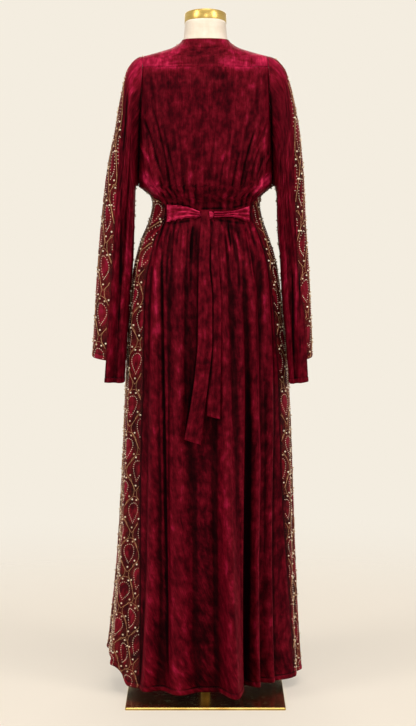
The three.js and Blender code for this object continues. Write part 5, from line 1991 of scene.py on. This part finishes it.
        # A painted shadow of the long tail's edge on the short tail.
        short = self.sewn["tail_short"]
        x, z = short.points[..., 0], short.points[..., 2]
        short.closed += 1.3 * np.clip(1.4 - np.abs(x - TAIL_LONG.read("right", z) - 1.0) / 5.0, 0, 1)
        made = {}
        for name, cloth in self.sewn.items():
            finish = tail_velvet if name.startswith("tail") else velvet
            knot = name == "knot"
            piece = cloth.piece(f"velvet_{name}", finish, 0.6 if knot else self.shell, weld=knot)
            made[name] = finish_piece(piece, "velvet", name)
        return made


@dataclass
class Embroidery:
    """Leaves outlined in beads inside a net of waved gold lines, on one panel's flat cut."""

    name: str
    cloth: Cloth
    pitch: float = 40.0
    wave: float = 15.0
    repeat: float = 104.0
    leaf: tuple[float, float] = (21.0, 25.0)
    bead_step: float = 5.4
    bead_radius: float = 1.15
    pearl_radius: float = 2.2
    thread_radius: float = 0.5

    def columns(self) -> range:
        """Numbers the net's upright lines across the flat cut."""
        left, right = float(self.cloth.across.min()), float(self.cloth.across.max())
        return range(math.floor(left / self.pitch) - 1, math.ceil(right / self.pitch) + 2)

    def waved_lines(self) -> list[Array]:
        """Draws the net's upright lines on the flat cut.

        Returns:
            The lines.
        """
        up = np.arange(2.0, float(self.cloth.up[-1]), 5.2)
        lines = []
        for n in self.columns():
            sway = self.wave * (-1) ** n * np.cos(2 * np.pi * up / self.repeat)
            lines.append(np.stack([n * self.pitch + sway, up], -1))
        return lines

    def centres(self) -> Array:
        """Lists the middles of the net's wide cells.

        Returns:
            Their places on the flat cut.
        """
        found = []
        for n in self.columns():
            first = self.repeat / 2 if n % 2 == 0 else 0.0
            for m in range(int(float(self.cloth.up[-1]) / self.repeat) + 2):
                found.append(((n + 0.5) * self.pitch, first + m * self.repeat))
        return np.array(found)

    def leaf_outline(self) -> Array:
        """Spaces one leaf's beads evenly: round at its top, with its tip at the bottom.

        Returns:
            Places round the leaf's middle.
        """
        t = np.linspace(0.02, 2 * np.pi - 0.02, 400)
        line = np.stack([self.leaf[0] * np.sin(t) * np.sin(t / 2) ** 1.2, -self.leaf[1] * np.cos(t)], -1)
        run = way_along(line)
        at = np.linspace(0, run[-1], max(int(run[-1] / self.bead_step), 8) + 1)
        return np.stack([np.interp(at, run, line[:, 0]), np.interp(at, run, line[:, 1])], -1)

    def veins(self) -> list[Array]:
        """Draws one cell's gold lines: an arch over the leaf and two veins down to the next.

        Returns:
            Lines round the cell's middle.
        """
        x = np.linspace(-25, 25, 12)
        arch = np.stack([x, 41 - 25 * (x / 30) ** 2], -1)
        s = np.linspace(0, 1, 7)
        left = np.stack([-19 + 19 * s**1.3, -22 - 28 * s], -1)
        return [arch, left, left * np.array([-1, 1])]

    def pearls(self) -> Array:
        """Lists one cell's pearls round its middle."""
        return np.array([(-8.0, 33.0), (8.0, 33.0), (-22.0, -12.0), (22.0, -12.0), (0.0, -36.0)])

    def sew_points(self, label: str, flat: Array, lift: float, radius: float, facets: int,
                   material: Material) -> Object:
        """Sews beads at places of the flat cut.

        Args:
            label: What the piece is called after the panel's name.
            flat: Places on the flat cut.
            lift: How far over the cloth the beads' middles are.
            radius: The beads' radius in mm.
            facets: How finely they are made.
            material: Their finish.

        Returns:
            The piece.
        """
        points, inside = self.cloth.lay(flat[:, 0], flat[:, 1], lift)
        piece = new_object(f"{self.name}_{label}", points[inside], [], None)
        return grow(piece, bead_tree(), {"Radius": radius * MM, "Facets": facets, "Finish": material})

    def sew_lines(self, lines: list[Array], material: Material) -> Object:
        """Couches gold thread along lines of the flat cut.

        Args:
            lines: Lines on the flat cut.
            material: The thread's finish.

        Returns:
            The piece.
        """
        flat = np.concatenate(lines)
        points, inside = self.cloth.lay(flat[:, 0], flat[:, 1], 0.35)
        ends = np.cumsum([len(line) for line in lines])
        linked = [(i, i + 1) for i in range(len(flat) - 1)
                  if inside[i] and inside[i + 1] and i + 1 not in set(ends.tolist())]
        used = np.unique(np.array(linked).ravel())
        fresh = {int(old): new for new, old in enumerate(used)}
        edges = [(fresh[a], fresh[b]) for a, b in linked]
        piece = new_object(f"{self.name}_gold", points[used], [], None, edges)
        return grow(piece, thread_tree(), {"Radius": self.thread_radius * MM, "Sides": 4, "Finish": material})

    def build(self, gold: Material, pearl: Material) -> list[Object]:
        """Sews the whole pattern.

        Args:
            gold: The thread's finish.
            pearl: The beads' finish.

        Returns:
            The pieces.
        """
        centres = self.centres()
        outline = (centres[:, None, :] + self.leaf_outline()[None]).reshape(-1, 2)
        dots = (centres[:, None, :] + self.pearls()[None]).reshape(-1, 2)
        lines = self.waved_lines() + [centre + vein for centre in centres for vein in self.veins()]
        return [
            self.sew_lines(lines, gold),
            self.sew_points("beads", outline, 0.5, self.bead_radius, 1, pearl),
            self.sew_points("pearls", dots, 1.2, self.pearl_radius, 2, pearl),
        ]


@dataclass
class HemStitches:
    """The line of stitches that holds each turned hem."""

    above: float = 12.0

    def build(self, name: str, cloth: Cloth, material: Material) -> Object:
        """Sews one hem.

        Args:
            name: The panel's name.
            cloth: The panel.
            material: The thread's finish.

        Returns:
            The piece.
        """
        across = np.arange(float(cloth.across[0, 0]) + 4, float(cloth.across[0, -1]) - 4, 4.0)
        points, inside = cloth.lay(across, np.full(len(across), self.above), 0.25)
        points = points[inside]
        piece = new_object(f"{name}_hem_stitches", points, [], None, [(i, i + 1) for i in range(len(points) - 1)])
        return grow(piece, stitch_tree(), {"Finish": material})


# The studio and the camera


@dataclass
class Studio:
    """A pale floor in a pale room, under broad soft lights on the camera's side."""

    floor_radius: float = 2.8
    room_radius: float = 40.0
    sides: int = 96
    rings: int = 24

    def hang_lights(self) -> None:
        """Hangs the softboxes and points each at its height on the garment."""
        for name, place, target_z, size, watts, tint in SOFTBOXES:
            data = bpy.data.lights.new(f"{name} softbox", "AREA")
            data.shape, data.size, data.size_y = "RECTANGLE", *size
            data.energy, data.color = watts, colour(tint)[:3]
            lamp = bpy.data.objects.new(data.name, data)
            lamp.location = place
            lamp.rotation_euler = (Vector((0, 0, target_z)) - Vector(place)).to_track_quat("-Z", "Y").to_euler()
            bpy.context.scene.collection.objects.link(lamp)

    def build(self) -> None:
        """Sets up the floor, the room and the lights."""
        turns = np.linspace(0, 2 * np.pi, self.sides, endpoint=False)
        rim = lathe([(self.floor_radius / MM, 0.0)], self.sides)
        floor = new_object("floor", rim - SHIFT, [tuple(range(self.sides))],
                           StudioPaper("floor_paper", fades=True).build())
        rings = np.linspace(-np.pi / 2 + 0.02, np.pi / 2 - 0.02, self.rings)
        ball = np.array([(math.cos(e) * math.cos(a), math.cos(e) * math.sin(a), math.sin(e))
                         for e in rings for a in turns]) * self.room_radius / MM
        room = new_object("room", ball - SHIFT, grid_faces(self.rings, self.sides, True),
                          StudioPaper("room_paper", "#f4ede0", glow=1.0).build())
        room.visible_diffuse = room.visible_shadow = False
        world = bpy.data.worlds.new("air")
        bpy.context.scene.world = world
        world.use_nodes = True
        air = world.node_tree.nodes["Background"].inputs
        air["Color"].default_value, air["Strength"].default_value = colour("#fff6ea"), 0.2
        self.hang_lights()


@dataclass
class CameraView:
    """A long lens at chest height behind the wearer, looking slightly down."""

    place: tuple[float, float, float] = (6.0, -5000.0, 1260.0)
    down: float = 5.183
    lens: float = 103.02

    def build(self) -> None:
        """Makes the camera and lets the scene use it."""
        data = bpy.data.cameras.new("camera")
        data.lens, data.sensor_width, data.sensor_fit = self.lens, 36.0, "AUTO"
        data.clip_end = 200.0
        camera = bpy.data.objects.new("camera", data)
        camera.location = (np.array(self.place) + SHIFT) * MM
        camera.rotation_euler = (math.radians(90 - self.down), 0, 0)
        bpy.context.scene.collection.objects.link(camera)
        bpy.context.scene.camera = camera
        bpy.context.scene.view_settings.view_transform = "Standard"


def declare_sheets(cloths: dict[str, Cloth],
                   held: dict[str, tuple[str, list[str]]]) -> None:
    """Logs the flat cut of each piece of cloth.

    Args:
        cloths: The cloths by name.
        held: The pieces to log, by name, with how each is held and what it rests on, which are not used.
    """
    for name, (way, rests) in held.items():
        width, length = cloths[name].flat_size()
        area = min(cloths[name].area(), width * length)
        LOG.info("%s: flat %.3f x %.3f m, %.3f m2", name, width, length, area)


def main() -> None:
    """Builds the stand, the form, the garment, its embroidery and the studio."""
    logging.basicConfig(level=logging.INFO, format="%(relativeCreated)7d ms  %(message)s")
    CameraView().build()
    Studio().build()
    Stand().build()
    form = DressForm()
    form.build()

    velvets = [CrushedVelvet(f"crushed_velvet_{n}", float(n)).build() for n in range(4)]
    yoke_velvet = CrushedVelvet("crushed_velvet_shoulders", 4.0).build()
    # The tie's velvet: lightened all over as painted light, with smaller patches that streak along the bands.
    tie_velvet = CrushedVelvet("crushed_velvet_stretched_painted_light", 5.0, 0.035, patch_mm=24.0, fleck_mm=9.0,
                               lengthwise=True).build()
    embroidered = [EmbroideredVelvet(f"embroidered_velvet_{n}", seed=float(n) + 6).build() for n in range(3)]
    gold, pearl = GoldThread().build(), PearlBead().build()

    body = GarmentBody(form)
    pieces = body.build(velvets[0], yoke_velvet, embroidered[0])
    sleeves = [Sleeve(Side.LEFT, body, SLEEVE_LEFT, SEAM_LEFT), Sleeve(Side.RIGHT, body, SLEEVE_RIGHT, SEAM_RIGHT)]
    for n, sleeve in enumerate(sleeves):
        pieces |= sleeve.build(velvets[2 + n], embroidered[1 + n])
    tie = WaistTie(body)
    pieces |= tie.build(tie_velvet, velvets[1])

    cloths = body.sewn | sleeves[0].sewn | sleeves[1].sewn | tie.sewn
    sewn_on: dict[str, list[Object]] = {}
    for name in ("front", "sleeve_left_front", "sleeve_right_front"):
        sewn_on[name] = Embroidery(name, cloths[name]).build(gold, pearl)
    red_thread = SewingThread().build()
    for name in ("back", "front", "sleeve_left_back", "sleeve_left_front", "sleeve_right_back",
                 "sleeve_right_front"):
        sewn_on.setdefault(name, []).append(HemStitches().build(name, cloths[name], red_thread))
    sewn_on["tail_long"] = [pieces["knot"]]
    declare_sheets(cloths, {
        "back": ("hung", ["velvet_back_yoke"]),
        "back_yoke": ("hung", ["linen_form"]),
        "front": ("hung", ["linen_form"]),
        "sleeve_left_back": ("hung", ["velvet_back"]),
        "sleeve_left_front": ("hung", ["velvet_front"]),
        "sleeve_right_back": ("hung", ["velvet_back"]),
        "sleeve_right_front": ("hung", ["velvet_front"]),
        "tie_left": ("gathered", ["velvet_back"]),
        "tie_right": ("gathered", ["velvet_back"]),
        "tail_long": ("hung", ["velvet_knot"]),
        "tail_short": ("hung", ["velvet_knot"]),
    })


if __name__ == "__main__":
    main()
